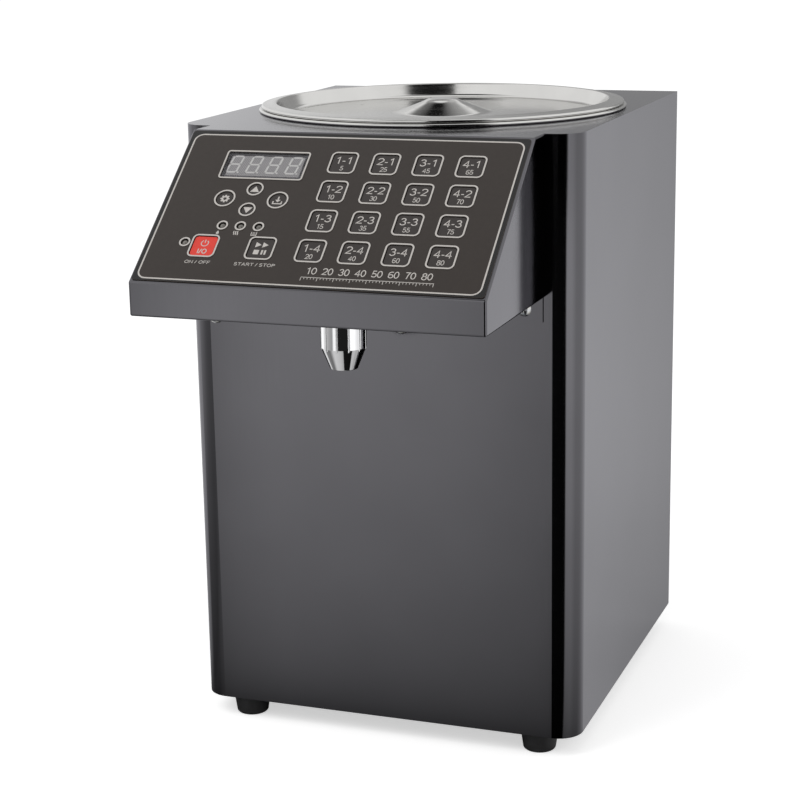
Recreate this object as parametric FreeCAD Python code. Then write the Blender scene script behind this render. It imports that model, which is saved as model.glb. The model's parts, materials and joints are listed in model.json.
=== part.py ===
import FreeCAD, Part
import math
import os

from FreeCAD import Placement, Rotation, Vector

# Counter-top syrup dispenser, in millimetres.  +X is the user's right, +Y points to the rear
# and +Z up.  The origin is under the middle of the whole machine, at the soles of its feet.

# Casing
BODY_W = 270.0          # width over the side walls
BODY_D = 277.0          # front wall to rear panel
BODY_H = 398.0          # lower edge to the top of the deck
CORNER_R = 17.0         # outside radius of the two front corners
SHEET = 1.2             # stainless sheet of the casing
SEAM = 0.2              # play between two nested sheet parts
FLANGE_H = 12.0         # turned-in edges of the base, the deck and the wrap

# Control head
HEAD_W = 227.0
HEAD_REACH = 121.8      # lip in front of the front wall
HEAD_TOP_D = 22.5       # flat strip between the deck and the slope
HEAD_DROP = 80.7        # height that the sloping face falls
LIP_H = 21.3            # upright lip below the slope
LIP_RETURN = 16.0       # turned-in edge under the lip
SIDE_RETURN = 8.0       # turned-in edge under the cheeks
HEAD_BEND_R = 1.5       # outside radius of the folds
REAR_FLANGE_H = 17.2    # bottom plate's flange against the front wall
DUCT_W = 130.0          # opening from the casing into the head
DUCT_H = 66.0

# Feet
FOOT_H = 15.0
FOOT_TOP_R = 13.0
FOOT_SOLE_R = 10.8
FOOT_EDGE_R = 2.0
FOOT_SEAT = 5.0         # rubber between screw head and base
FOOT_INSET_X = 30.0
FOOT_INSET_Y = 17.0

# Truss-head screws, all alike
SCREW_R = 2.0
SCREW_L = 10.0
SCREW_HEAD_R = 4.7
SCREW_HEAD_H = 2.8
SCREW_PLAY = 0.2        # hole radius over shank radius
SLOT_W = 1.2            # driver cross
SLOT_DEPTH = 1.3
LIP_SCREW_X = 59.0
LIP_SCREW_Y = 8.8       # behind the lip
FLANGE_SCREW_X = 100.0

# Tank and lid
TANK_AHEAD = 0.2        # tank axis ahead of the casing's middle
TANK_R = 116.4          # bore
TANK_DEPTH = 185.0
TANK_WALL = 1.0
TANK_CORNER_R = 12.0
TANK_BEAD_R = 1.1       # rolled edge that rests on the deck
TANK_FLANGE_R = 126.9
DECK_HOLE_PLAY = 1.0
LID_R = 125.4
LID_SHEET = 0.8
LID_BEAD_R = 1.3
LID_SEAT = 0.3          # play between lid bead and tank flange
LID_DISH = 9.0          # depth of the dish below the rim
LID_DISH_PLAY = 1.0     # dish wall inside the tank bore
LID_BOSS_FOOT_R = 35.0
LID_BOSS_TOP_R = 10.5
LID_BOSS_RISE = 1.2     # boss top above the rim
LID_FILLET_R = 2.5
VENT_R = 2.5
VENT_PITCH_R = 83.0
VENT_ANGLE = 152.0

# Tank fittings
BOSS_R = 10.0           # welded boss under the tank
BOSS_H = 7.0
HEATER_PLAY = 0.15
HEATER_T = 2.0
HEATER_H = 50.0
HEATER_UP = 25.0        # above the tank's bottom
HEATER_EAR = 7.0
HEATER_SLIT = 8.0
THERMOSTAT_R = 8.0
THERMOSTAT_H = 9.0
THERMOSTAT_X = -48.0
SENSOR_W = 28.0
SENSOR_T = 10.0
SENSOR_H = 18.0
SENSOR_ANGLE = -45.0

# Sloping control panel; u runs right and v down from the slope's upper left corner
OVERLAY_MARGIN = 1.6
OVERLAY_T = 0.6
OVERLAY_R = 2.0
BEZEL_W = 1.05          # raised rings around keys and lamps
BEZEL_H = 0.4
BEZEL_PLAY = 0.1
KEY_SIZE = 15.2
KEY_R = 2.2
KEY_EDGE_R = 0.3
KEY_PLAY = 0.25
KEY_SINK = 0.2          # cap below the overlay
KEY_TRAVEL = 0.8
KEY_FLANGE = 0.9        # retaining rim, wider than the cap on each side
KEY_FLANGE_T = 1.0
KEY_STOP_PLAY = 0.1
KEY_STEM_R = 2.5
ARROW_CAP_R = 4.1
FUNCTION_CAP_R = 5.5
DOSE_U = 110.5          # first column of the dose keys
DOSE_V = 25.9           # first row of the dose keys
DOSE_PITCH_U = 27.5
DOSE_PITCH_V = 23.9
DOSE_COLUMNS = 4
DOSE_ROWS = 4
CLUSTER_U = 59.3        # middle of the display and the keys below it
ARROW_V = 58.4
ARROW_SPREAD = 8.5      # arrow keys above and below ARROW_V
FUNCTION_SPREAD = 17.7  # function keys left and right of CLUSTER_U
SWITCH_V = 97.3
POWER_U = 40.4
RUN_U = 78.0
LAMP_V = 80.4
LAMP_SPREAD = 12.0
POWER_LAMP_U = 27.0
POWER_LAMP_V = 95.0
LAMP_R = 2.4
LAMP_PLAY = 0.1
LAMP_RISE = 0.3         # dome above the overlay
DISPLAY_V = 29.9
WINDOW_W = 54.0
WINDOW_H = 21.3
WINDOW_LEDGE = 2.0      # metal that carries the window's edge
WINDOW_PLAY = 0.1
DISPLAY_W = 49.5
DISPLAY_H = 17.0
DISPLAY_T = 8.0

# Control board
BOARD_GAP = 10.0        # behind the slope's sheet
BOARD_T = 1.6
BOARD_U = 14.0          # left edge
BOARD_V = 8.0           # upper edge
BOARD_W = 200.0
BOARD_H = 103.0
STANDOFF_R = 3.0
STANDOFF_INSET = 4.0
TACT_SIZE = 6.0
TACT_H = 3.5
PLUNGER_R = 1.75
PLUNGER_H = 1.0
PRESS_PLAY = 0.2        # stem to plunger when the key is fully down

# Nozzle
NOZZLE_BACK = 64.8      # nozzle axis behind the lip
NOZZLE_R = 14.4
NOZZLE_TIP_R = 8.6
NOZZLE_BARREL_H = 23.6
NOZZLE_CONE_H = 14.0
GROOVE_COUNT = 12       # in the grip
GROOVE_TURN = 5.0       # degrees from +X to the first groove
GROOVE_R = 0.7
GROOVE_DEPTH = 0.6
NOZZLE_BORE_R = 5.0
NOZZLE_RIM = 0.8        # rounding at the tip
NOZZLE_GAP = 0.3        # below the stem's collar
STEM_R = 8.0
STEM_PLAY = 0.08
STEM_SPIGOT_L = 14.0
STEM_COLLAR_R = 12.0
STEM_COLLAR_H = 3.0
STEM_BORE_R = 3.0
LOCKNUT_AF = 24.0
LOCKNUT_H = 5.0
ELBOW_RISE = 32.0       # elbow axis above the bottom plate
ELBOW_R = 6.0
ELBOW_L = 9.0

# Hoses and their barbed fittings
HOSE_R = 4.5
HOSE_BORE_R = 3.1
BARB_PLAY = 0.05
BARB_L = 14.0
BARB_BORE_R = 2.0
FITTING_AF = 13.0
FITTING_H = 5.0
SPIGOT_R = 5.0
SPIGOT_L = 6.0
SPIGOT_PLAY = 0.05
HOSE_STEP = 20.0        # run between the points of a bend
HOSE_END = 24.0         # last run, pushed over its barb
HOSE_FRONT_GAP = 8.3    # rising hose behind the front wall's sheet
HOSE_ASIDE = 50.0       # rising hose left of the middle, where the round tank leaves room
HOSE_BELOW = 20.0       # it is that far aside this much below the tank
HOSE_DROP = 14.0        # its upper corner below the elbow
CLAMP_T = 0.8
CLAMP_W = 6.0
CLAMP_BACK = 4.0        # clamp's middle from the hose's end

# Gear pump, with its gear axes along X and the drive gear above the idler
PUMP_BACK = 95.0        # pump axis behind the front wall
PUMP_UP = 75.0          # pump axis above the casing's lower edge
MODULE = 2.0
TEETH = 12
PRESSURE_ANGLE = 28.0
ADDENDUM = 0.9          # in modules
DEDENDUM = 1.2          # in modules
BACKLASH = 0.16
GEAR_W = 14.0
GEAR_PLAY = 0.1
TIP_PLAY = 0.1
SHAFT_R = 4.0
SHAFT_PLAY = 0.05
SHAFT_IN = 4.0          # length in a blind bearing
SHAFT_GRIP = 10.0       # drive shaft's length inside the motor
PUMP_WALL = 4.0         # above the upper and below the lower gear
PORT_WALL = 10.2        # beside the gears, where the ports are
PUMP_BACK_T = 8.0
PUMP_COVER_T = 6.0
PORT_R = 3.0
BRACKET_T = 2.0
BRACKET_FOOT = 55.0
BRACKET_HOLE_R = 10.0
BRACKET_BEND_R = 1.0
MOTOR_R = 21.0
MOTOR_L = 62.0
MOTOR_CAP_R = 9.0
MOTOR_CAP_L = 3.0
MOTOR_SCREW_Y = 9.0
MOTOR_SCREW_Z = 14.0

# Power supply, wiring and inlet
SUPPLY_W = 52.0
SUPPLY_L = 120.0
SUPPLY_H = 34.0
SUPPLY_SIDE = 11.8      # from the left side wall's sheet
SUPPLY_FRONT = 50.0     # behind the front wall
SUPPLY_FOOT_H = 5.0
SUPPLY_FOOT_R = 3.0
TERMINAL_W = 38.0
TERMINAL_L = 10.0
TERMINAL_H = 12.0
INLET_X = -80.0
INLET_UP = 40.0         # above the casing's lower edge
INLET_W = 50.0
INLET_H = 42.0
INLET_FLANGE_T = 3.0
INLET_BODY_W = 30.0
INLET_BODY_H = 34.0
INLET_DEPTH = 27.0
SOCKET_W = 24.4
SOCKET_H = 16.6
SOCKET_DEPTH = 17.0
SOCKET_CHAMFER = 4.5
SOCKET_UP = -5.0        # socket's middle from the inlet's middle
PIN_W = 2.0
PIN_H = 4.0
PIN_L = 14.0
PIN_SPREAD = 7.0
EARTH_UP = 2.2
NEUTRAL_UP = -1.8
DRAWER_W = 22.0
DRAWER_H = 7.6
DRAWER_L = 20.0
DRAWER_UP = 10.5
DRAWER_PLAY = 0.2
DRAWER_GRIP = 1.2
CABLE_R = 2.5
CABLE_STEP = 16.0       # run between the points of a bend
CONNECTOR_W = 16.0
CONNECTOR_D = 10.0
CONNECTOR_H = 7.0
CONNECTOR_U = 70.0
CONNECTOR_V = 34.0

# Rear panel
PANEL_SCREW_EDGE = 6.5  # screw axis from the panel's side edge
PANEL_SCREW_ROWS = 4
PANEL_SCREW_END = 26.0  # first and last screw from the panel's ends
LOUVRES = 9
LOUVRE_W = 60.0
LOUVRE_H = 3.0
LOUVRE_PITCH = 9.0
LOUVRE_UP = 150.0
LOUVRE_X = 55.0

# Positions that follow from the sizes above
REAR_OUT = max(SCREW_HEAD_H, INLET_FLANGE_T)
FRONT_Y = HEAD_REACH - (HEAD_REACH + BODY_D + REAR_OUT) / 2
BACK_Y = FRONT_Y + BODY_D
BASE_Z = FOOT_H
TOP_Z = BASE_Z + BODY_H
LIP_Z = TOP_Z - HEAD_DROP - LIP_H
LIP_Y = FRONT_Y - HEAD_REACH
SLOPE_RUN = HEAD_REACH - HEAD_TOP_D
SLOPE_L = math.hypot(SLOPE_RUN, HEAD_DROP)
SLOPE_DEG = math.degrees(math.atan2(HEAD_DROP, SLOPE_RUN))
PLATE_Z = LIP_Z + SHEET
PLATE_TOP_Z = PLATE_Z + SHEET
DUCT_Z = PLATE_TOP_Z + 2 * SHEET
TANK_Y = FRONT_Y + BODY_D / 2 - TANK_AHEAD
TANK_Z = TOP_Z - TANK_DEPTH
TANK_OUT_R = TANK_R + TANK_WALL
TANK_RIM_Z = TOP_Z + 2 * TANK_BEAD_R
LID_RIM_Z = TANK_RIM_Z + LID_SEAT + 2 * LID_BEAD_R
HOLE_R = SCREW_R + SCREW_PLAY
PUMP_Y = FRONT_Y + PUMP_BACK
PUMP_Z = BASE_Z + PUMP_UP
PITCH_R = MODULE * TEETH / 2
TIP_R = PITCH_R + ADDENDUM * MODULE
ROOT_R = PITCH_R - DEDENDUM * MODULE
DRIVE_Z = PUMP_Z + PITCH_R
IDLER_Z = PUMP_Z - PITCH_R
PUMP_HALF_Y = TIP_R + PORT_WALL
PUMP_HALF_Z = PITCH_R + TIP_R + PUMP_WALL
GEAR_X = GEAR_W / 2 + GEAR_PLAY
HOUSING_X = GEAR_X + PUMP_BACK_T
BRACKET_X = HOUSING_X + BRACKET_T
BARB_R = HOSE_BORE_R - BARB_PLAY
SPREAD = math.cos(math.radians(30)) + math.cos(math.radians(60))
OUTLET_Y = PUMP_Y + PUMP_HALF_Y + FITTING_H + HOSE_END + SPREAD * HOSE_STEP
RISER_Y = FRONT_Y + SHEET + HOSE_FRONT_GAP
NOZZLE_Y = LIP_Y + NOZZLE_BACK
ELBOW_Z = PLATE_TOP_Z + ELBOW_RISE
INLET_Z = BASE_Z + INLET_UP
SUPPLY_X = SHEET + SUPPLY_SIDE + SUPPLY_W / 2 - BODY_W / 2
SUPPLY_Y = FRONT_Y + SUPPLY_FRONT
SUPPLY_Z = BASE_Z + SHEET + SUPPLY_FOOT_H
BOARD_N = -SHEET - BOARD_GAP
PLUNGER_N = BOARD_N + TACT_H + PLUNGER_H
KEY_TOP_N = OVERLAY_T - KEY_SINK
FLANGE_N = -SHEET - KEY_STOP_PLAY

UP = Vector(0, 0, 1)
DOWN = Vector(0, 0, -1)
RIGHT = Vector(1, 0, 0)
LEFT = Vector(-1, 0, 0)
BACK = Vector(0, 1, 0)
FORWARD = Vector(0, -1, 0)


# ---------------------------------------------------------------- shared shapes

def box(x, y, z):
    """Block between two corners per axis, each given as (low, high)."""
    return Part.makeBox(x[1] - x[0], y[1] - y[0], z[1] - z[0], Vector(x[0], y[0], z[0]))


def rod(radius, length, start, direction):
    return Part.makeCylinder(radius, length, start, direction)


def tube(outer, inner, length, start, direction):
    return rod(outer, length, start, direction).cut(rod(inner, length, start, direction))


def fused(shapes):
    """One clean solid from several touching or overlapping ones."""
    body = shapes[0]
    for other in shapes[1:]:
        body = body.fuse(other)
    return body.removeSplitter()


def hexagon(across_flats, height, start, direction):
    corner_r = across_flats / math.sqrt(3)
    corners = [Vector(corner_r * math.cos(math.radians(60 * i)),
                      corner_r * math.sin(math.radians(60 * i)), 0) for i in range(7)]
    prism = Part.Face(Part.makePolygon(corners)).extrude(UP * height)
    prism.Placement = Placement(start, Rotation(UP, direction))
    return prism


def rounded_slab(width, height, radius, low, high):
    """Rectangle with round corners about the local origin, between two heights."""
    slab = box((-width / 2, width / 2), (-height / 2, height / 2), (low, high))
    upright = [e for e in slab.Edges if abs(e.BoundBox.ZLength - (high - low)) < 1e-6]
    return slab.makeFillet(radius, upright)


def rounded_wire(points, radii):
    """Straight runs through the points, joined by tangent arcs of the given radii."""
    edges = []
    last = points[0]
    for before, corner, after, radius in zip(points, points[1:], points[2:], radii):
        back = (before - corner).normalize()
        ahead = (after - corner).normalize()
        half_turn = (math.pi - back.getAngle(ahead)) / 2
        reach = radius * math.tan(half_turn)
        middle = corner + (back + ahead).normalize() * (radius / math.cos(half_turn) - radius)
        edges.append(Part.LineSegment(last, corner + back * reach).toShape())
        edges.append(Part.Arc(corner + back * reach, middle, corner + ahead * reach).toShape())
        last = corner + ahead * reach
    edges.append(Part.LineSegment(last, points[-1]).toShape())
    return Part.Wire(edges)


def spun_sheet(profile, radii, thickness):
    """Sheet of one thickness below a profile of (radius, height) points, spun about Z."""
    wire = rounded_wire([Vector(r, 0, z) for r, z in profile], radii)
    section = wire.makeOffset2D(-thickness, 0, True, True)
    return section.Faces[0].revolve(Vector(0, 0, 0), UP, 360)


def bend_radii(points):
    """Each bend is as large as its shorter run allows."""
    radii = []
    for before, corner, after in zip(points, points[1:], points[2:]):
        shorter = min((corner - before).Length, (after - corner).Length)
        half_turn = (math.pi - (before - corner).getAngle(after - corner)) / 2
        radii.append(0.45 * shorter / math.tan(half_turn))
    return radii


def bent_rod(points, radius):
    """Round bar that follows the points, with its section at the first one."""
    path = rounded_wire(points, bend_radii(points))
    start = Part.Wire(Part.makeCircle(radius, points[0], points[1] - points[0]))
    return path.makePipeShell([start], True, True), path.Length


def bent_tube(name, points, outer, inner=0.0):
    """Hose or cable; its bend radii and its volume against section times length are printed."""
    shape, length = bent_rod(points, outer)
    if inner:
        bore, length = bent_rod(points, inner)
        shape = shape.cut(bore)
    ideal = math.pi * (outer ** 2 - inner ** 2) * length
    print(name, "bends", [round(r, 1) for r in bend_radii(points)],
          "length", round(length, 1), "volume/ideal", round(shape.Volume / ideal, 4))
    return shape


def spread_corner(corner, arriving, leaving, step):
    """Three points that spread a right-angled turn evenly about its corner."""
    first = corner - arriving * SPREAD * step
    second = first + (arriving * math.cos(math.radians(30))
                      + leaving * math.sin(math.radians(30))) * step
    return [first, second, corner + leaving * SPREAD * step]


def truss_screw(seat, direction):
    """Screw whose head rests on the seat and whose shank runs along the direction."""
    dome_r = (SCREW_HEAD_R ** 2 + SCREW_HEAD_H ** 2) / (2 * SCREW_HEAD_H)
    ball = Part.makeSphere(dome_r, Vector(0, 0, dome_r - SCREW_HEAD_H))
    head = ball.common(rod(SCREW_HEAD_R, SCREW_HEAD_H, Vector(0, 0, -SCREW_HEAD_H), UP))
    shank = rod(SCREW_R, SCREW_L, Vector(0, 0, 0), UP)
    shank = shank.makeChamfer(SCREW_R / 4, [shank.Edges[0]])
    cross_l = SCREW_HEAD_R * 0.9
    depth = (-SCREW_HEAD_H - 1, -SCREW_HEAD_H + SLOT_DEPTH)
    across = box((-cross_l / 2, cross_l / 2), (-SLOT_W / 2, SLOT_W / 2), depth)
    along = box((-SLOT_W / 2, SLOT_W / 2), (-cross_l / 2, cross_l / 2), depth)
    screw = fused([head, shank]).cut(across.fuse(along))
    screw.Placement = Placement(seat, Rotation(UP, direction))
    return screw


def bore(seat, direction, length=SCREW_L):
    """Clearance hole for a screw's shank, from its seat onwards and a little before."""
    return rod(HOLE_R, length + 2, seat - direction, direction)


# ---------------------------------------------------------------- casing

def casing_prism(inset, low, high, back_y):
    """Casing's plan with round front corners, inset from its walls, up to back_y."""
    half = BODY_W / 2 - inset
    front = FRONT_Y + inset
    prism = box((-half, half), (front, back_y), (low, high))
    corners = [e for e in prism.Edges
               if e.BoundBox.XLength < 1e-6 and e.BoundBox.YLength < 1e-6
               and abs(e.BoundBox.YMin - front) < 1e-6]
    return prism.makeFillet(CORNER_R - inset, corners)


def foot_seats():
    """Middles of the four feet on the base's underside."""
    half = BODY_W / 2 - FOOT_INSET_X
    return [Vector(x, y, BASE_Z) for x in (-half, half)
            for y in (FRONT_Y + FOOT_INSET_Y, BACK_Y - FOOT_INSET_Y)]


def foot_screw_seats():
    return [seat - UP * FOOT_SEAT for seat in foot_seats()]


def bracket_screw_seats():
    """Below the base, under the pump bracket's foot."""
    x = BRACKET_X + BRACKET_FOOT / 2
    return [Vector(x, PUMP_Y + side * PUMP_HALF_Y * 0.6, BASE_Z) for side in (-1, 1)]


def lip_screw_seats():
    return [Vector(side * LIP_SCREW_X, LIP_Y + LIP_SCREW_Y, LIP_Z) for side in (-1, 1)]


def flange_screw_seats():
    z = LIP_Z - (REAR_FLANGE_H - SHEET) / 2
    return [Vector(side * FLANGE_SCREW_X, FRONT_Y - SHEET, z) for side in (-1, 1)]


def panel_screw_seats():
    half = BODY_W / 2 - SHEET - SEAM - PANEL_SCREW_EDGE
    step = (BODY_H - 2 * PANEL_SCREW_END) / (PANEL_SCREW_ROWS - 1)
    return [Vector(side * half, BACK_Y, BASE_Z + PANEL_SCREW_END + row * step)
            for side in (-1, 1) for row in range(PANEL_SCREW_ROWS)]


def duct_cutter():
    """Opening through the front wall into the head."""
    return box((-DUCT_W / 2, DUCT_W / 2), (FRONT_Y - 5, FRONT_Y + 5), (DUCT_Z, DUCT_Z + DUCT_H))


def casing_wrap():
    """Front wall and both sides in one bent sheet, with turned-in rear edges."""
    top = TOP_Z - SHEET
    seat_y = BACK_Y - SHEET
    shell = casing_prism(0, BASE_Z, top, BACK_Y)
    shell = shell.cut(casing_prism(SHEET, BASE_Z - 1, top + 1, BACK_Y + 1))
    low = BASE_Z + FLANGE_H + SEAM
    high = top - FLANGE_H - SEAM
    inner = BODY_W / 2 - SHEET
    for side in (-1, 1):
        span = sorted((side * (inner + SHEET / 2), side * (inner - FLANGE_H)))
        shell = shell.fuse(box(span, (seat_y - SHEET, seat_y), (low, high)))
    shell = shell.removeSplitter().cut(duct_cutter())
    for seat in flange_screw_seats():
        shell = shell.cut(bore(seat, BACK))
    for seat in panel_screw_seats():
        shell = shell.cut(bore(seat, FORWARD))
    return shell


def tray(floor_low, rim_low, rim_high):
    """Sheet floor with an upright rim that nests inside the casing wrap."""
    seat_y = BACK_Y - SHEET
    inset = SHEET + SEAM
    rim = casing_prism(inset, rim_low, rim_high, seat_y)
    rim = rim.cut(casing_prism(inset + SHEET, rim_low - 1, rim_high + 1, seat_y - SHEET))
    floor = casing_prism(inset, floor_low, floor_low + SHEET, seat_y)
    return fused([floor, rim])


def base_plate():
    base = tray(BASE_Z, BASE_Z, BASE_Z + FLANGE_H)
    for seat in foot_screw_seats() + bracket_screw_seats():
        base = base.cut(bore(seat, UP))
    return base


def top_deck():
    """Lid of the casing, with the hole that the tank hangs in."""
    seat_y = BACK_Y - SHEET
    inset = SHEET + SEAM
    under = TOP_Z - SHEET
    rim = casing_prism(inset, under - FLANGE_H, under, seat_y)
    rim = rim.cut(casing_prism(inset + SHEET, under - FLANGE_H - 1, under + 1, seat_y - SHEET))
    deck = fused([casing_prism(0, under, TOP_Z, BACK_Y), rim])
    hole_r = TANK_OUT_R + DECK_HOLE_PLAY
    return deck.cut(rod(hole_r, BODY_H, Vector(0, TANK_Y, TANK_Z), UP))


def rear_panel():
    half = BODY_W / 2 - SHEET - SEAM
    panel = box((-half, half), (BACK_Y - SHEET, BACK_Y), (BASE_Z, TOP_Z - SHEET - SEAM))
    for seat in panel_screw_seats():
        panel = panel.cut(bore(seat, FORWARD))
    for side in (-1, 1):
        for row in range(LOUVRES):
            z = BASE_Z + LOUVRE_UP + row * LOUVRE_PITCH
            slot = rounded_slab(LOUVRE_W, LOUVRE_H, LOUVRE_H * 0.45, -5, 5)
            slot.Placement = Placement(Vector(side * LOUVRE_X, BACK_Y, z), Rotation(RIGHT, 90))
            panel = panel.cut(slot)
    return panel.cut(inlet_block(SEAM))


def feet():
    soles = []
    for seat in foot_seats():
        foot = Part.makeCone(FOOT_TOP_R, FOOT_SOLE_R, FOOT_H, seat, DOWN)
        sole_edge = [e for e in foot.Edges if e.BoundBox.ZMax < 1e-6]
        foot = foot.makeFillet(FOOT_EDGE_R, sole_edge)
        well_r = SCREW_HEAD_R + 2 * SCREW_PLAY
        foot = foot.cut(rod(well_r, FOOT_H, seat - UP * (FOOT_SEAT + FOOT_H), UP))
        soles.append(foot.cut(rod(HOLE_R, FOOT_H, seat - UP * FOOT_H, UP)))
    return Part.makeCompound(soles)


def case_screws():
    screws = [truss_screw(seat, UP) for seat in foot_screw_seats()]
    screws += [truss_screw(seat, UP) for seat in lip_screw_seats() + bracket_screw_seats()]
    screws += [truss_screw(seat, BACK) for seat in flange_screw_seats()]
    screws += [truss_screw(seat, FORWARD) for seat in panel_screw_seats()]
    screws += [truss_screw(seat, RIGHT) for seat in cover_screw_seats()]
    screws += [truss_screw(seat, RIGHT) for seat in motor_screw_seats()]
    screws += [truss_screw(seat, LEFT) for seat in housing_screw_seats()]
    return Part.makeCompound(screws)


# ---------------------------------------------------------------- control head

def inset_profile(points, inset):
    """Closed (y, z) outline moved inwards by one distance; the points run clockwise."""
    lines = []
    for (y0, z0), (y1, z1) in zip(points, points[1:] + points[:1]):
        length = math.hypot(y1 - y0, z1 - z0)
        normal = ((z0 - z1) / length, (y1 - y0) / length)
        lines.append((normal, normal[0] * y0 + normal[1] * z0 + inset))
    corners = []
    for (n0, d0), (n1, d1) in zip(lines[-1:] + lines[:-1], lines):
        det = n0[0] * n1[1] - n0[1] * n1[0]
        corners.append(((d0 * n1[1] - d1 * n0[1]) / det, (n0[0] * d1 - n1[0] * d0) / det))
    return corners


def head_prism(inset):
    """Head's side profile, extruded across its width."""
    profile = [(FRONT_Y, TOP_Z), (FRONT_Y, LIP_Z), (LIP_Y, LIP_Z),
               (LIP_Y, LIP_Z + LIP_H), (FRONT_Y - HEAD_TOP_D, TOP_Z)]
    if inset:
        profile = inset_profile(profile, -inset)
    half = HEAD_W / 2 - inset
    corners = [Vector(-half, y, z) for y, z in profile]
    face = Part.Face(Part.makePolygon(corners + corners[:1]))
    return face.extrude(RIGHT * (2 * half))


def head_shell():
    """Welded sheet head: top strip, slope, lip and cheeks, with turned-in lower edges."""
    shell = head_prism(0)
    outer_edges = [e for e in shell.Edges if e.BoundBox.YMin < FRONT_Y - 1e-6]
    shell = shell.makeFillet(HEAD_BEND_R, outer_edges)
    cavity = head_prism(SHEET)
    inner = HEAD_W / 2 - SHEET
    back = box((-inner, inner), (FRONT_Y - 2 * SHEET, FRONT_Y + 1),
               (LIP_Z + SHEET, TOP_Z - SHEET))
    shell = shell.cut(cavity).cut(back)
    mouth = inner - SIDE_RETURN
    shell = shell.cut(box((-mouth, mouth), (LIP_Y + LIP_RETURN, FRONT_Y + 1),
                          (LIP_Z - 1, LIP_Z + 2 * SHEET)))
    shell = shell.cut(box((-inner, inner), (FRONT_Y - 2 * SHEET, FRONT_Y + 1),
                          (LIP_Z - 1, LIP_Z + 2 * SHEET)))
    for seat in lip_screw_seats():
        shell = shell.cut(bore(seat, UP))
    return shell.cut(on_slope(panel_holes(KEY_PLAY, -SHEET - 2, 2)))


def head_bottom_plate():
    """Closes the head from below; its rear flange is screwed to the front wall."""
    half = HEAD_W / 2 - SHEET - SEAM
    plate = box((-half, half), (LIP_Y + SHEET + SEAM, FRONT_Y), (PLATE_Z, PLATE_TOP_Z))
    flange = box((-half, half), (FRONT_Y - SHEET, FRONT_Y), (LIP_Z - REAR_FLANGE_H + SHEET,
                                                            PLATE_TOP_Z))
    plate = fused([plate, flange])
    plate = plate.cut(rod(STEM_R + SCREW_PLAY, 4 * SHEET, Vector(0, NOZZLE_Y, LIP_Z), UP))
    for seat in lip_screw_seats():
        plate = plate.cut(bore(seat, UP))
    for seat in flange_screw_seats():
        plate = plate.cut(bore(seat, BACK))
    return plate


# ---------------------------------------------------------------- sloping panel

def slope_frame():
    return Placement(Vector(0, FRONT_Y - HEAD_TOP_D, TOP_Z), Rotation(RIGHT, SLOPE_DEG))


def on_slope(shape):
    """From the panel's own frame (right, up the slope, outwards) to the machine's."""
    placed = shape.copy()
    placed.Placement = slope_frame().multiply(shape.Placement)
    return placed


def local(u, v, n=0.0):
    """Panel point from its upper left corner, in the panel's own frame."""
    return Vector(u - HEAD_W / 2, -v, n)


def square_keys():
    keys = [("dose_key_%d_%d" % (column + 1, row + 1),
             DOSE_U + column * DOSE_PITCH_U, DOSE_V + row * DOSE_PITCH_V)
            for column in range(DOSE_COLUMNS) for row in range(DOSE_ROWS)]
    return keys + [("key_power", POWER_U, SWITCH_V), ("key_run_stop", RUN_U, SWITCH_V)]


def round_keys():
    return [("key_up", CLUSTER_U, ARROW_V - ARROW_SPREAD, ARROW_CAP_R),
            ("key_down", CLUSTER_U, ARROW_V + ARROW_SPREAD, ARROW_CAP_R),
            ("key_setting", CLUSTER_U - FUNCTION_SPREAD, ARROW_V, FUNCTION_CAP_R),
            ("key_storage", CLUSTER_U + FUNCTION_SPREAD, ARROW_V, FUNCTION_CAP_R)]


def key_centres():
    return [(u, v) for _, u, v in square_keys()] + [(u, v) for _, u, v, _ in round_keys()]


def lamp_centres():
    row = [(CLUSTER_U + i * LAMP_SPREAD, LAMP_V) for i in (-1, 0, 1)]
    return row + [(POWER_LAMP_U, POWER_LAMP_V)]


def square_prism(u, v, grow, low, high):
    """Key outline, wider by grow on each side, between two heights."""
    size = KEY_SIZE + 2 * grow
    slab = rounded_slab(size, size, KEY_R + max(grow, 0), low, high)
    slab.translate(local(u, v))
    return slab


def round_prism(u, v, radius, low, high):
    return rod(radius, high - low, local(u, v, low), UP)


def window_prism(grow, low, high):
    slab = rounded_slab(WINDOW_W + 2 * grow, WINDOW_H + 2 * grow, 1.0 + max(grow, 0), low, high)
    slab.translate(local(CLUSTER_U, DISPLAY_V))
    return slab


def panel_holes(play, low, high, window_grow=-WINDOW_LEDGE):
    """Everything that passes through the slope's sheet."""
    holes = [square_prism(u, v, play, low, high) for _, u, v in square_keys()]
    holes += [round_prism(u, v, r + play, low, high) for _, u, v, r in round_keys()]
    holes += [round_prism(u, v, LAMP_R + LAMP_PLAY, low, high) for u, v in lamp_centres()]
    slab = rounded_slab(WINDOW_W + 2 * window_grow, WINDOW_H + 2 * window_grow, 1.0, low, high)
    slab.translate(local(CLUSTER_U, DISPLAY_V))
    return Part.makeCompound(holes + [slab])


def panel_overlay():
    """Printed film over the whole slope, with the keys, lamps and window let in."""
    width = HEAD_W - 2 * OVERLAY_MARGIN
    height = SLOPE_L - 2 * OVERLAY_MARGIN
    film = rounded_slab(width, height, OVERLAY_R, 0, OVERLAY_T)
    film.translate(local(HEAD_W / 2, SLOPE_L / 2))
    return on_slope(film.cut(panel_holes(KEY_PLAY, -1, OVERLAY_T + 1, WINDOW_PLAY)))


def ring(prism, u, v, inner, low, high):
    """Raised ring around an opening; inner is the opening's half size or growth."""
    return prism(u, v, inner + BEZEL_W, low, high).cut(prism(u, v, inner, low - 1, high + 1))


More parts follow.
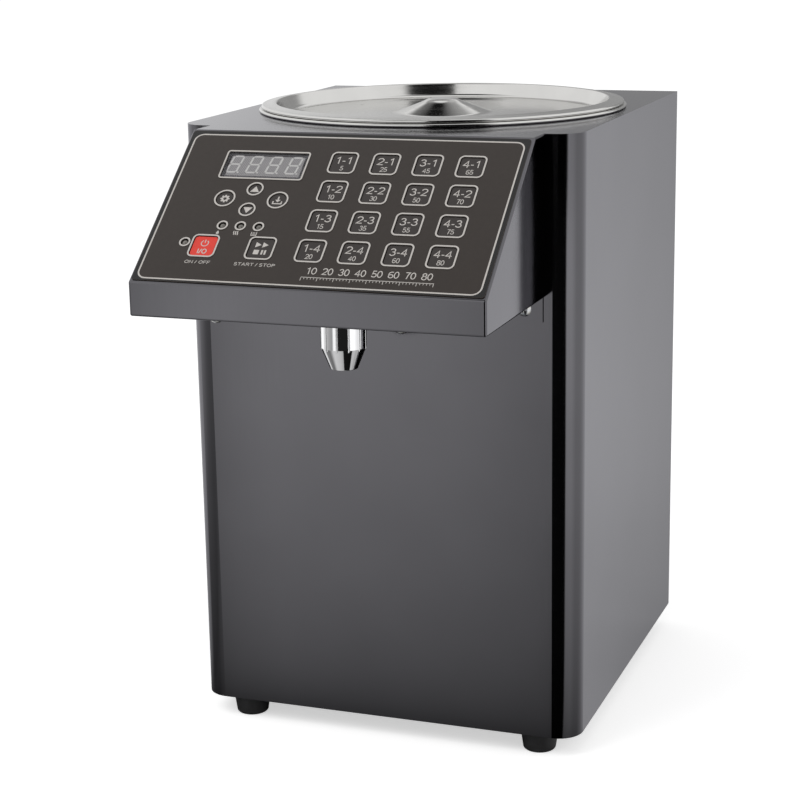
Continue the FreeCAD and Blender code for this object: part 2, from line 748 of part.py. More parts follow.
def key_bezels():
    low = OVERLAY_T
    high = OVERLAY_T + BEZEL_H
    gap = KEY_PLAY + BEZEL_PLAY
    rings = [ring(square_prism, u, v, gap, low, high) for _, u, v in square_keys()]
    rings += [ring(round_prism, u, v, r + gap, low, high) for _, u, v, r in round_keys()]
    rings += [ring(round_prism, u, v, LAMP_R + LAMP_PLAY + BEZEL_PLAY, low, high)
              for u, v in lamp_centres()]
    inner = WINDOW_PLAY + BEZEL_PLAY
    frame = window_prism(inner + BEZEL_W, low, high).cut(window_prism(inner, low - 1, high + 1))
    return on_slope(Part.makeCompound(rings + [frame]))


def display_window():
    return on_slope(window_prism(0, 0, OVERLAY_T))


def display_module():
    """Four-digit display block on the board, just behind its window."""
    block = box((-DISPLAY_W / 2, DISPLAY_W / 2), (-DISPLAY_H / 2, DISPLAY_H / 2),
                (BOARD_N, BOARD_N + DISPLAY_T))
    block.translate(local(CLUSTER_U, DISPLAY_V))
    return on_slope(block)


def key_stem(u, v):
    start = PLUNGER_N + PRESS_PLAY + KEY_TRAVEL
    return rod(KEY_STEM_R, FLANGE_N - KEY_FLANGE_T - start, local(u, v, start), UP)


def key_cap(prism, u, v, size):
    """Cap, retaining flange and stem; size is the cap's radius or its growth."""
    cap = prism(u, v, size, FLANGE_N, KEY_TOP_N)
    top_edges = [e for e in cap.Edges if e.BoundBox.ZMin > KEY_TOP_N - 1e-6]
    cap = cap.makeFillet(KEY_EDGE_R, top_edges)
    flange = prism(u, v, size + KEY_FLANGE, FLANGE_N - KEY_FLANGE_T, FLANGE_N)
    return on_slope(fused([cap, flange, key_stem(u, v)]))


def control_board():
    board = box((0, BOARD_W), (-BOARD_H, 0), (BOARD_N - BOARD_T, BOARD_N))
    board.translate(local(BOARD_U, BOARD_V))
    return on_slope(board)


def tact_switches():
    """One switch on the board behind each key."""
    switches = []
    for u, v in key_centres():
        half = TACT_SIZE / 2
        block = box((-half, half), (-half, half), (BOARD_N, BOARD_N + TACT_H))
        block.translate(local(u, v))
        plunger = rod(PLUNGER_R, PLUNGER_H, local(u, v, BOARD_N + TACT_H), UP)
        switches.append(fused([block, plunger]))
    return on_slope(Part.makeCompound(switches))


def panel_leds():
    """Lamp domes on spacers that stand on the board."""
    lamps = []
    top = OVERLAY_T + LAMP_RISE
    for u, v in lamp_centres():
        neck = rod(LAMP_R, top - LAMP_R - BOARD_N, local(u, v, BOARD_N), UP)
        dome = Part.makeSphere(LAMP_R, local(u, v, top - LAMP_R))
        lamps.append(fused([neck, dome]))
    return on_slope(Part.makeCompound(lamps))


def board_standoffs():
    """Posts at the board's corners and between the two groups of keys."""
    left = BOARD_U + STANDOFF_INSET
    right = BOARD_U + BOARD_W - STANDOFF_INSET
    posts = [rod(STANDOFF_R, BOARD_GAP, local(u, v, BOARD_N), UP)
             for u in (left, (RUN_U + DOSE_U) / 2, right)
             for v in (BOARD_V + STANDOFF_INSET, BOARD_V + BOARD_H - STANDOFF_INSET)]
    return on_slope(Part.makeCompound(posts))


# ---------------------------------------------------------------- tank and lid

def at_tank(shape):
    shape.translate(Vector(0, TANK_Y, 0))
    return shape


def tank():
    """Deep-drawn tank whose rolled flange rests on the deck."""
    bead_centre_r = TANK_FLANGE_R - TANK_BEAD_R
    profile = [(0, TANK_Z + TANK_WALL), (TANK_R, TANK_Z + TANK_WALL),
               (TANK_R, TANK_RIM_Z), (bead_centre_r, TANK_RIM_Z)]
    vessel = spun_sheet(profile, [TANK_CORNER_R, 2 * TANK_WALL], TANK_WALL)
    bead = Part.makeTorus(bead_centre_r, TANK_BEAD_R, Vector(0, 0, TANK_RIM_Z - TANK_BEAD_R), UP)
    outlet = Vector(0, OUTLET_Y - TANK_Y, TANK_Z - BOSS_H)
    boss = rod(BOSS_R, BOSS_H + TANK_WALL / 2, outlet, UP)
    vessel = fused([vessel, bead, boss])
    vessel = vessel.cut(rod(SPIGOT_R, BOSS_H + 2 * TANK_WALL, outlet, UP))
    return at_tank(vessel)


def lid():
    """Dished lid with a rolled rim and a boss in the middle."""
    bead_centre_r = LID_R - LID_BEAD_R
    dish_r = TANK_R - LID_DISH_PLAY - LID_SHEET
    floor_z = LID_RIM_Z - LID_DISH
    profile = [(0, LID_RIM_Z + LID_BOSS_RISE), (LID_BOSS_TOP_R, LID_RIM_Z + LID_BOSS_RISE),
               (LID_BOSS_FOOT_R, floor_z), (dish_r, floor_z),
               (dish_r, LID_RIM_Z), (bead_centre_r, LID_RIM_Z)]
    bends = [LID_FILLET_R, 2 * LID_FILLET_R, LID_FILLET_R, 2 * LID_SHEET]
    cover = spun_sheet(profile, bends, LID_SHEET)
    bead = Part.makeTorus(bead_centre_r, LID_BEAD_R, Vector(0, 0, LID_RIM_Z - LID_BEAD_R), UP)
    turn = math.radians(VENT_ANGLE)
    vent = Vector(VENT_PITCH_R * math.cos(turn), VENT_PITCH_R * math.sin(turn), TANK_Z)
    return at_tank(fused([cover, bead]).cut(rod(VENT_R, BODY_H, vent, UP)))


def heater_band():
    """Clamped band heater with two ears at the rear."""
    inner = TANK_OUT_R + HEATER_PLAY
    outer = inner + HEATER_T
    start = Vector(0, 0, TANK_Z + HEATER_UP)
    band = tube(outer, inner, HEATER_H, start, UP)
    heights = (TANK_Z + HEATER_UP, TANK_Z + HEATER_UP + HEATER_H)
    half = HEATER_SLIT / 2
    band = band.cut(box((-half, half), (0, 2 * outer), heights))
    for side in (-1, 1):
        span = sorted((side * half, side * (half + HEATER_T)))
        ear = box(span, (inner, outer + HEATER_EAR), heights)
        band = band.fuse(ear.cut(rod(inner, HEATER_H, start, UP)))
    return at_tank(band.removeSplitter())


def thermostat():
    """Cut-out switch clipped under the tank."""
    top = Vector(THERMOSTAT_X, 0, TANK_Z)
    can = rod(THERMOSTAT_R, THERMOSTAT_H, top, DOWN)
    tabs = box((THERMOSTAT_X - 2 * THERMOSTAT_R, THERMOSTAT_X + 2 * THERMOSTAT_R),
               (-THERMOSTAT_R / 2, THERMOSTAT_R / 2), (TANK_Z - 1, TANK_Z))
    return at_tank(fused([can, tabs]))


def level_sensor():
    """Low-level sensor with a back that follows the tank's wall."""
    inner = TANK_OUT_R + HEATER_PLAY
    low = TANK_Z + HEATER_UP + HEATER_H + SENSOR_H / 2
    block = box((TANK_R, inner + SENSOR_T), (-SENSOR_W / 2, SENSOR_W / 2), (low, low + SENSOR_H))
    block.rotate(Vector(0, 0, 0), UP, SENSOR_ANGLE)
    return at_tank(block.cut(rod(inner, BODY_H, Vector(0, 0, TANK_Z), UP)))


# ---------------------------------------------------------------- hoses

def barb_fitting(seat, direction):
    """Hexagon collar on the seat, a spigot into it and a barb that the hose is pushed over."""
    collar = hexagon(FITTING_AF, FITTING_H, seat, direction)
    spigot = rod(SPIGOT_R - SPIGOT_PLAY, SPIGOT_L, seat - direction * SPIGOT_L, direction)
    barb = rod(BARB_R, FITTING_H + BARB_L, seat, direction)
    length = SPIGOT_L + FITTING_H + BARB_L
    bored = rod(BARB_BORE_R, length, seat - direction * SPIGOT_L, direction)
    return fused([collar, spigot, barb]).cut(bored)


def tank_port():
    return Vector(0, OUTLET_Y, TANK_Z - BOSS_H)


def pump_port(direction):
    return Vector(0, PUMP_Y, PUMP_Z) + direction * PUMP_HALF_Y


def hose_barbs():
    return Part.makeCompound([barb_fitting(tank_port(), DOWN),
                              barb_fitting(pump_port(BACK), BACK),
                              barb_fitting(pump_port(FORWARD), FORWARD)])


def suction_route():
    """From the tank's outlet down and forward into the pump's rear port."""
    corner = Vector(0, OUTLET_Y, PUMP_Z)
    return ([tank_port() + DOWN * FITTING_H] + spread_corner(corner, DOWN, FORWARD, HOSE_STEP)
            + [pump_port(BACK) + BACK * FITTING_H])


def delivery_route():
    """From the pump's front port up between front wall and tank and forward to the nozzle."""
    corner = Vector(0, RISER_Y, PUMP_Z)
    low = Vector(-HOSE_ASIDE, RISER_Y, TANK_Z - HOSE_BELOW)
    high = Vector(-HOSE_ASIDE, RISER_Y, ELBOW_Z - HOSE_DROP)
    return ([pump_port(FORWARD) + FORWARD * FITTING_H]
            + spread_corner(corner, FORWARD, UP, HOSE_STEP)
            + [low, high, elbow_end() + BACK * HOSE_END, elbow_end()])


def elbow_end():
    """Shoulder of the nozzle's elbow, where its barb starts."""
    return Vector(0, NOZZLE_Y + ELBOW_L, ELBOW_Z)


def suction_hose():
    return bent_tube("suction_hose", suction_route(), HOSE_R, HOSE_BORE_R)


def delivery_hose():
    return bent_tube("delivery_hose", delivery_route(), HOSE_R, HOSE_BORE_R)


def hose_clamp(end, away):
    """Worm clamp around a hose, near the end that is pushed over a barb."""
    inner = HOSE_R + BARB_PLAY
    outer = inner + CLAMP_T
    start = end + away * (CLAMP_BACK - CLAMP_W / 2)
    band = tube(outer, inner, CLAMP_W, start, away)
    side = start + away * (CLAMP_W / 2) + RIGHT * (inner + CLAMP_T / 2)
    worm = box((side.x, side.x + 4 * CLAMP_T), (side.y - 2, side.y + 2), (side.z - 2, side.z + 2))
    return fused([band, worm.cut(rod(inner, CLAMP_W, start, away))])


def hose_clamps():
    return Part.makeCompound([hose_clamp(tank_port() + DOWN * FITTING_H, DOWN),
                              hose_clamp(pump_port(BACK) + BACK * FITTING_H, BACK),
                              hose_clamp(pump_port(FORWARD) + FORWARD * FITTING_H, FORWARD),
                              hose_clamp(elbow_end(), BACK)])


# ---------------------------------------------------------------- pump

def involute(angle):
    return math.tan(angle) - angle


def flank(half_pitch_angle, centre, side, base_r):
    """Involute flank of one tooth, from the root circle to the tip circle."""
    pressure = math.radians(PRESSURE_ANGLE)
    radii = [base_r + (TIP_R - base_r) * (i / 6) ** 1.5 for i in range(7)]
    points = []
    for r in radii:
        roll = math.acos(min(1.0, base_r / r))
        angle = centre + side * (half_pitch_angle + involute(pressure) - involute(roll))
        points.append(Vector(r * math.cos(angle), r * math.sin(angle), 0))
    root_angle = centre + side * (half_pitch_angle + involute(pressure))
    root = Vector(ROOT_R * math.cos(root_angle), ROOT_R * math.sin(root_angle), 0)
    curve = Part.BSplineCurve()
    curve.interpolate(points)
    return root, points[0], curve.toShape(), points[-1]


def on_circle(radius, angle):
    return Vector(radius * math.cos(angle), radius * math.sin(angle), 0)


def gear_blank(first_tooth):
    """Spur gear of width GEAR_W from z = 0; first_tooth is a tooth's angle in radians."""
    half_pitch_angle = math.pi / (2 * TEETH) - BACKLASH / (2 * PITCH_R)
    base_r = PITCH_R * math.cos(math.radians(PRESSURE_ANGLE))
    step = 2 * math.pi / TEETH
    edges = []
    for i in range(TEETH):
        centre = first_tooth + i * step
        root_a, base_a, curve_a, tip_a = flank(half_pitch_angle, centre, -1, base_r)
        root_b, base_b, curve_b, tip_b = flank(half_pitch_angle, centre, 1, base_r)
        next_root = flank(half_pitch_angle, centre + step, -1, base_r)[0]
        edges += [Part.LineSegment(root_a, base_a).toShape(), curve_a,
                  Part.Arc(tip_a, on_circle(TIP_R, centre), tip_b).toShape(), curve_b,
                  Part.LineSegment(base_b, root_b).toShape(),
                  Part.Arc(root_b, on_circle(ROOT_R, centre + step / 2), next_root).toShape()]
    outline = Part.Wire(Part.__sortEdges__(edges))
    return Part.Face(outline).extrude(UP * GEAR_W)


def pump_gear(first_tooth, axis_z, shaft_from, shaft_to):
    """Gear and shaft in one piece; the blank's own X axis points down when it is placed."""
    wheel = gear_blank(first_tooth)
    wheel.Placement = Placement(Vector(-GEAR_W / 2, PUMP_Y, axis_z), Rotation(BACK, 90))
    shaft = rod(SHAFT_R, shaft_to - shaft_from, Vector(shaft_from, PUMP_Y, axis_z), RIGHT)
    return fused([wheel, shaft])


def drive_gear():
    return pump_gear(0.0, DRIVE_Z, -GEAR_X - SHAFT_IN, BRACKET_X + SHAFT_GRIP)


def idler_gear():
    return pump_gear(math.pi / TEETH, IDLER_Z, -GEAR_X - SHAFT_IN, GEAR_X + SHAFT_IN)


def pump_block(low_x, high_x):
    return box((low_x, high_x), (PUMP_Y - PUMP_HALF_Y, PUMP_Y + PUMP_HALF_Y),
               (PUMP_Z - PUMP_HALF_Z, PUMP_Z + PUMP_HALF_Z))


def bearing(axis_z, low_x, high_x):
    """Bearing bore for a gear's shaft between two places along X."""
    return rod(SHAFT_R + SHAFT_PLAY, high_x - low_x, Vector(low_x, PUMP_Y, axis_z), RIGHT)


def cover_screw_seats():
    """Corners of the cover, clear of the gear chambers."""
    x = -GEAR_X - PUMP_COVER_T
    y = PUMP_HALF_Y - SCREW_HEAD_R - SCREW_PLAY
    z = PUMP_HALF_Z - SCREW_HEAD_R - SCREW_PLAY
    return [Vector(x, PUMP_Y + a * y, PUMP_Z + b * z) for a in (-1, 1) for b in (-1, 1)]


def motor_screw_seats():
    """Front of the bracket, in two wells of the pump's back wall."""
    return [Vector(HOUSING_X, PUMP_Y + side * MOTOR_SCREW_Y, DRIVE_Z + MOTOR_SCREW_Z)
            for side in (-1, 1)]


def housing_screw_seats():
    """Rear of the bracket, below the motor."""
    y = PUMP_HALF_Y - SCREW_HEAD_R - SCREW_PLAY
    z = PUMP_HALF_Z - SCREW_HEAD_R - SCREW_PLAY
    return [Vector(BRACKET_X, PUMP_Y + a * y, PUMP_Z - z) for a in (-1, 1)]


def pump_housing():
    """Gear chambers, back wall with two bearings, and a port on each side."""
    body = pump_block(-GEAR_X, HOUSING_X)
    for axis_z in (DRIVE_Z, IDLER_Z):
        chamber = rod(TIP_R + TIP_PLAY, 2 * GEAR_X, Vector(-GEAR_X, PUMP_Y, axis_z), RIGHT)
        body = body.cut(chamber)
    body = body.cut(bearing(DRIVE_Z, 0, HOUSING_X + 1)).cut(bearing(IDLER_Z, 0, GEAR_X
                                                                   + SHAFT_IN + 0.5))
    for way in (FORWARD, BACK):
        seat = pump_port(way)
        body = body.cut(rod(PORT_R, PUMP_HALF_Y, seat, way * -1))
        body = body.cut(rod(SPIGOT_R, SPIGOT_L + 0.5, seat, way * -1))
    for seat in cover_screw_seats():
        body = body.cut(bore(seat, RIGHT))
    for seat in housing_screw_seats():
        body = body.cut(bore(seat, LEFT))
    well_r = SCREW_HEAD_R + 2 * SCREW_PLAY
    for seat in motor_screw_seats():
        body = body.cut(rod(well_r, SCREW_HEAD_H + SCREW_PLAY, seat, LEFT))
    return body


def pump_cover():
    plate = pump_block(-GEAR_X - PUMP_COVER_T, -GEAR_X)
    for axis_z in (DRIVE_Z, IDLER_Z):
        plate = plate.cut(bearing(axis_z, -GEAR_X - SHAFT_IN - 0.5, 0))
    for seat in cover_screw_seats():
        plate = plate.cut(bore(seat, RIGHT))
    return plate


def pump_bracket():
    """Angle bracket between pump and motor, screwed to the base."""
    floor = BASE_Z + SHEET
    ys = (PUMP_Y - PUMP_HALF_Y, PUMP_Y + PUMP_HALF_Y)
    wall = box((HOUSING_X, BRACKET_X), ys, (floor, DRIVE_Z + MOTOR_R))
    foot = box((HOUSING_X, BRACKET_X + BRACKET_FOOT), ys, (floor, floor + BRACKET_T))
    bracket = fused([wall, foot])
    fold = [e for e in bracket.Edges if abs(e.BoundBox.XMin - BRACKET_X) < 1e-6
            and e.BoundBox.XLength < 1e-6 and e.BoundBox.ZLength < 1e-6
            and abs(e.BoundBox.ZMin - floor - BRACKET_T) < 1e-6]
    bracket = bracket.makeFillet(BRACKET_BEND_R, fold)
    bracket = bracket.cut(rod(BRACKET_HOLE_R, 4 * BRACKET_T,
                              Vector(HOUSING_X - BRACKET_T, PUMP_Y, DRIVE_Z), RIGHT))
    for seat in bracket_screw_seats():
        bracket = bracket.cut(bore(seat, UP))
    for seat in housing_screw_seats():
        bracket = bracket.cut(bore(seat, LEFT))
    for seat in motor_screw_seats():
        bracket = bracket.cut(bore(seat, RIGHT))
    return bracket


def pump_motor():
    """Geared motor on the bracket, bored for the drive gear's shaft."""
    face = Vector(BRACKET_X, PUMP_Y, DRIVE_Z)
    can = rod(MOTOR_R, MOTOR_L, face, RIGHT)
    can = can.makeFillet(2.0, [e for e in can.Edges if e.BoundBox.XMin > BRACKET_X + 1])
    cap = rod(MOTOR_CAP_R, MOTOR_CAP_L, face + RIGHT * MOTOR_L, RIGHT)
    motor = fused([can, cap])
    for seat in motor_screw_seats():
        motor = motor.cut(bore(seat, RIGHT))
    return motor.cut(rod(SHAFT_R + SHAFT_PLAY, SHAFT_GRIP + 0.5, face, RIGHT))


# ---------------------------------------------------------------- nozzle

def grip_grooves(low, high):
    """Round cutters along the grip, evenly about its axis."""
    axis_r = NOZZLE_R + GROOVE_R - GROOVE_DEPTH
    turns = [math.radians(GROOVE_TURN + 360 * i / GROOVE_COUNT) for i in range(GROOVE_COUNT)]
    return [rod(GROOVE_R, high - low, on_circle(axis_r, turn) + UP * low, UP) for turn in turns]


def nozzle_top_z():
    """Upper face of the nozzle cap, just under the stem's collar."""
    return PLATE_Z - STEM_COLLAR_H - NOZZLE_GAP


def at_nozzle(shape):
    shape.translate(Vector(0, NOZZLE_Y, 0))
    return shape


def nozzle_cap():
    """Chromed outlet with a grooved grip, screwed on the stem by hand."""
    top = nozzle_top_z()
    shoulder = top - NOZZLE_BARREL_H
    tip = shoulder - NOZZLE_CONE_H
    barrel = rod(NOZZLE_R, NOZZLE_BARREL_H, Vector(0, 0, shoulder), UP)
    cone = Part.makeCone(NOZZLE_TIP_R, NOZZLE_R, NOZZLE_CONE_H, Vector(0, 0, tip), UP)
    cone = cone.makeFillet(NOZZLE_RIM, [e for e in cone.Edges if e.BoundBox.ZMax < tip + 1e-6])
    body = fused([barrel, cone])
    for groove in grip_grooves(tip, top):
        body = body.cut(groove)
    socket = rod(STEM_R + STEM_PLAY, STEM_SPIGOT_L + 1, Vector(0, 0, top), DOWN)
    outlet = rod(NOZZLE_BORE_R, NOZZLE_BARREL_H + NOZZLE_CONE_H, Vector(0, 0, tip), UP)
    return at_nozzle(body.cut(socket).cut(outlet))


def nozzle_stem():
    """Threaded pipe through the bottom plate, with an elbow to the hose above it."""
    collar = rod(STEM_COLLAR_R, STEM_COLLAR_H, Vector(0, 0, PLATE_Z), DOWN)
    foot = nozzle_top_z() - STEM_SPIGOT_L
    thread_top = PLATE_TOP_Z + LOCKNUT_H + 2 * SHEET
    pipe = rod(STEM_R, thread_top - foot, Vector(0, 0, foot), UP)
    neck = rod(ELBOW_R, ELBOW_Z - thread_top, Vector(0, 0, thread_top), UP)
    knee = Part.makeSphere(ELBOW_R, Vector(0, 0, ELBOW_Z))
    arm = rod(ELBOW_R, ELBOW_L, Vector(0, 0, ELBOW_Z), BACK)
    barb = rod(BARB_R, ELBOW_L + BARB_L, Vector(0, 0, ELBOW_Z), BACK)
    stem = fused([collar, pipe, neck, knee, arm, barb])
    down_bore = rod(STEM_BORE_R, ELBOW_Z - foot, Vector(0, 0, foot), UP)
    back_bore = rod(BARB_BORE_R, ELBOW_L + BARB_L, Vector(0, 0, ELBOW_Z), BACK)
    return at_nozzle(stem.cut(down_bore).cut(back_bore))


def nozzle_locknut():
    nut = hexagon(LOCKNUT_AF, LOCKNUT_H, Vector(0, 0, PLATE_TOP_Z), UP)
    return at_nozzle(nut.cut(rod(STEM_R + STEM_PLAY, LOCKNUT_H, Vector(0, 0, PLATE_TOP_Z), UP)))


# ---------------------------------------------------------------- power

def power_supply():
    """Enclosed supply on four spacers, with a terminal block at its rear."""
    rear = SUPPLY_Y + SUPPLY_L
    xs = (SUPPLY_X - SUPPLY_W / 2, SUPPLY_X + SUPPLY_W / 2)
    case = box(xs, (SUPPLY_Y, rear), (SUPPLY_Z, SUPPLY_Z + SUPPLY_H))
    case = case.makeFillet(1.5, [e for e in case.Edges if e.BoundBox.YLength > SUPPLY_L - 1])
    block = box((SUPPLY_X - TERMINAL_W / 2, SUPPLY_X + TERMINAL_W / 2),
                (rear, rear + TERMINAL_L), (SUPPLY_Z, SUPPLY_Z + TERMINAL_H))
    legs = [rod(SUPPLY_FOOT_R, SUPPLY_FOOT_H, Vector(x, y, BASE_Z + SHEET), UP)
            for x in (xs[0] + 2 * SUPPLY_FOOT_R, xs[1] - 2 * SUPPLY_FOOT_R)
            for y in (SUPPLY_Y + 2 * SUPPLY_FOOT_R, rear - 2 * SUPPLY_FOOT_R)]
    return fused([case, block] + legs)


def inlet_block(grow):
    """Inlet's body through the rear panel."""
    half_w = INLET_BODY_W / 2 + grow
    half_h = INLET_BODY_H / 2 + grow
    return box((INLET_X - half_w, INLET_X + half_w), (BACK_Y - INLET_DEPTH, BACK_Y + 1),
               (INLET_Z - half_h, INLET_Z + half_h))


def drawer_block(grow, length):
    """Fuse drawer's space, from the flange's outer face inwards."""
    face = BACK_Y + INLET_FLANGE_T
    half_w = DRAWER_W / 2 + grow
    half_h = DRAWER_H / 2 + grow
    z = INLET_Z + DRAWER_UP
    return box((INLET_X - half_w, INLET_X + half_w), (face - length, face),
               (z - half_h, z + half_h))


def socket_recess():
    face = BACK_Y + INLET_FLANGE_T
    slab = rounded_slab(SOCKET_W, SOCKET_H, 1.0, 0, SOCKET_DEPTH)
    top = SOCKET_H / 2
    side = SOCKET_W / 2
    for way in (-1, 1):
        corner = [Vector(way * side, top, 0), Vector(way * (side - SOCKET_CHAMFER), top, 0),
                  Vector(way * side, top - SOCKET_CHAMFER, 0), Vector(way * side, top, 0)]
        slab = slab.cut(Part.Face(Part.makePolygon(corner)).extrude(UP * SOCKET_DEPTH))
    slab.Placement = Placement(Vector(INLET_X, face, INLET_Z + SOCKET_UP), Rotation(RIGHT, 90))
    return slab


def power_inlet():
    """Mains inlet with a socket for a detachable lead and a slot for the fuse drawer."""
    flange = rounded_slab(INLET_W, INLET_H, 3.0, 0, INLET_FLANGE_T)
    flange.Placement = Placement(Vector(INLET_X, BACK_Y + INLET_FLANGE_T, INLET_Z),
                                 Rotation(RIGHT, 90))
    body = fused([flange, inlet_block(0)]).cut(socket_recess())
    body = body.cut(drawer_block(DRAWER_PLAY, DRAWER_L + DRAWER_PLAY))
    floor_y = BACK_Y + INLET_FLANGE_T - SOCKET_DEPTH
    for across, up in ((-1, NEUTRAL_UP), (0, EARTH_UP), (1, NEUTRAL_UP)):
        x = INLET_X + across * PIN_SPREAD
        z = INLET_Z + SOCKET_UP + up
        pin = box((x - PIN_W / 2, x + PIN_W / 2), (floor_y - 1, floor_y + PIN_L),
                  (z - PIN_H / 2, z + PIN_H / 2))
        body = body.fuse(pin)
    return body.removeSplitter()


def fuse_drawer():
    """Holds the mains fuse; a groove in its face takes a finger nail."""
    drawer = drawer_block(0, DRAWER_L)
    face = BACK_Y + INLET_FLANGE_T
    z = INLET_Z + DRAWER_UP
    groove = box((INLET_X - DRAWER_W / 4, INLET_X + DRAWER_W / 4), (face - DRAWER_GRIP, face + 1),
                 (z + DRAWER_H / 2 - DRAWER_GRIP, z + DRAWER_H))
    nest_y = face - 2 * DRAWER_GRIP
    nest = box((INLET_X - DRAWER_W / 2 + 2, INLET_X + DRAWER_W / 2 - 2),
               (nest_y - DRAWER_L + 6, nest_y), (z - DRAWER_H / 2 + 1, z + DRAWER_H))
    return drawer.cut(groove).cut(nest)


# ---------------------------------------------------------------- wiring

def connector_seat():
    """Middle of the board connector's cable side."""
    back_n = BOARD_N - BOARD_T - CONNECTOR_H
    return slope_frame().multVec(local(CONNECTOR_U, CONNECTOR_V, back_n))


def board_connector():
    block = box((-CONNECTOR_W / 2, CONNECTOR_W / 2), (-CONNECTOR_D / 2, CONNECTOR_D / 2),
                (BOARD_N - BOARD_T - CONNECTOR_H, BOARD_N - BOARD_T))
    block.translate(local(CONNECTOR_U, CONNECTOR_V))
    return on_slope(block)


def mains_route():
    """From the inlet's rear down to the supply's terminals."""
    start = Vector(INLET_X, BACK_Y - INLET_DEPTH, INLET_Z)
    end = Vector(SUPPLY_X, SUPPLY_Y + SUPPLY_L + TERMINAL_L, SUPPLY_Z + TERMINAL_H / 2)
    return [start, start + Vector(0, -14, 0), start + Vector(-3, -27, -5),
            end + Vector(3, 27, 5), end + Vector(0, 14, 0), end]


def board_route():
    """From the supply up the front corner and through the duct to the board."""
    start = Vector(SUPPLY_X, SUPPLY_Y, SUPPLY_Z + SUPPLY_H / 2)
    corner = start + FORWARD * (1 + SPREAD) * CABLE_STEP
    seat = connector_seat()
    straight = slope_frame().Rotation.multVec(DOWN * CABLE_STEP)
    return ([start] + spread_corner(corner, FORWARD, UP, CABLE_STEP)
            + [start + Vector(-1, -37, 52), start + Vector(-4, -35, 100),
               start + Vector(-5, -33.5, 158), seat + Vector(-53, 55, -120),
               seat + Vector(-44, 55, -82), seat + Vector(-26, 50.5, -56),
               seat + Vector(-9, 36, -35), seat + straight, seat])


def motor_route():
    """From the motor's end cap round the front of the pump to the supply."""
    start = Vector(BRACKET_X + MOTOR_L + MOTOR_CAP_L, PUMP_Y, DRIVE_Z)
    end = Vector(SUPPLY_X + SUPPLY_W / 4, SUPPLY_Y, SUPPLY_Z + SUPPLY_H * 3 / 4)
    corner = end + FORWARD * (1 + SPREAD) * CABLE_STEP
    turn = spread_corner(corner, LEFT, BACK, CABLE_STEP)
    return ([start, start + Vector(16, 0, 0), start + Vector(30.5, -5, -4.5),
             start + Vector(41, -14.5, -12), start + Vector(45, -26.5, -22),
             start + Vector(40.5, -44.5, -37.5), start + Vector(23, -62, -51),
             start + Vector(-12, -72.5, -59), start + Vector(-58, -75, -63),
             turn[0] + Vector(33, 1.5, -4.5)] + turn + [end])


def wiring_harness():
    return Part.makeCompound([bent_tube("mains lead", mains_route(), CABLE_R),
                              bent_tube("board lead", board_route(), CABLE_R),
                              bent_tube("motor lead", motor_route(), CABLE_R),
                              board_connector()])


# ---------------------------------------------------------------- all nodes

def all_nodes():
    nodes = {
        "casing_wrap": casing_wrap(),
        "top_deck": top_deck(),
        "rear_panel": rear_panel(),
        "base_plate": base_plate(),
        "head_shell": head_shell(),
        "head_bottom_plate": head_bottom_plate(),
        "panel_overlay": panel_overlay(),
        "key_bezels": key_bezels(),
        "display_window": display_window(),
        "display_module": display_module(),
        "control_board": control_board(),
        "tact_switches": tact_switches(),
        "panel_leds": panel_leds(),
        "board_standoffs": board_standoffs(),
        "tank": tank(),
        "lid": lid(),
        "heater_band": heater_band(),
        "thermostat": thermostat(),
        "level_sensor": level_sensor(),
        "hose_barbs": hose_barbs(),
        "suction_hose": suction_hose(),
        "delivery_hose": delivery_hose(),
        "hose_clamps": hose_clamps(),
        "pump_housing": pump_housing(),
        "pump_cover": pump_cover(),
        "drive_gear": drive_gear(),
        "idler_gear": idler_gear(),
        "pump_bracket": pump_bracket(),
        "pump_motor": pump_motor(),
        "nozzle_stem": nozzle_stem(),
        "nozzle_locknut": nozzle_locknut(),
        "nozzle_cap": nozzle_cap(),
        "power_supply": power_supply(),
        "power_inlet": power_inlet(),
        "fuse_drawer": fuse_drawer(),
        "wiring_harness": wiring_harness(),
        "feet": feet(),
        "case_screws": case_screws(),
    }
    for name, u, v in square_keys():
        nodes[name] = key_cap(square_prism, u, v, 0)
    for name, u, v, radius in round_keys():
        nodes[name] = key_cap(round_prism, u, v, radius)
    return nodes


os.makedirs("parts", exist_ok=True)
for node_name, node_shape in all_nodes().items():
    node_shape.exportStep("parts/" + node_name + ".step")
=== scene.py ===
"""Finishes, printing and studio of a counter-top syrup dispenser.

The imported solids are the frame.  Each operator dresses or builds one piece of the machine, or one
group of like pieces.  Printing and spun sections are drawn in millimetres, the rest in metres.
"""

import json
import math
from types import SimpleNamespace

import bmesh
import bpy
from bpy.props import FloatProperty, FloatVectorProperty, IntProperty, PointerProperty
from mathutils import Matrix, Vector


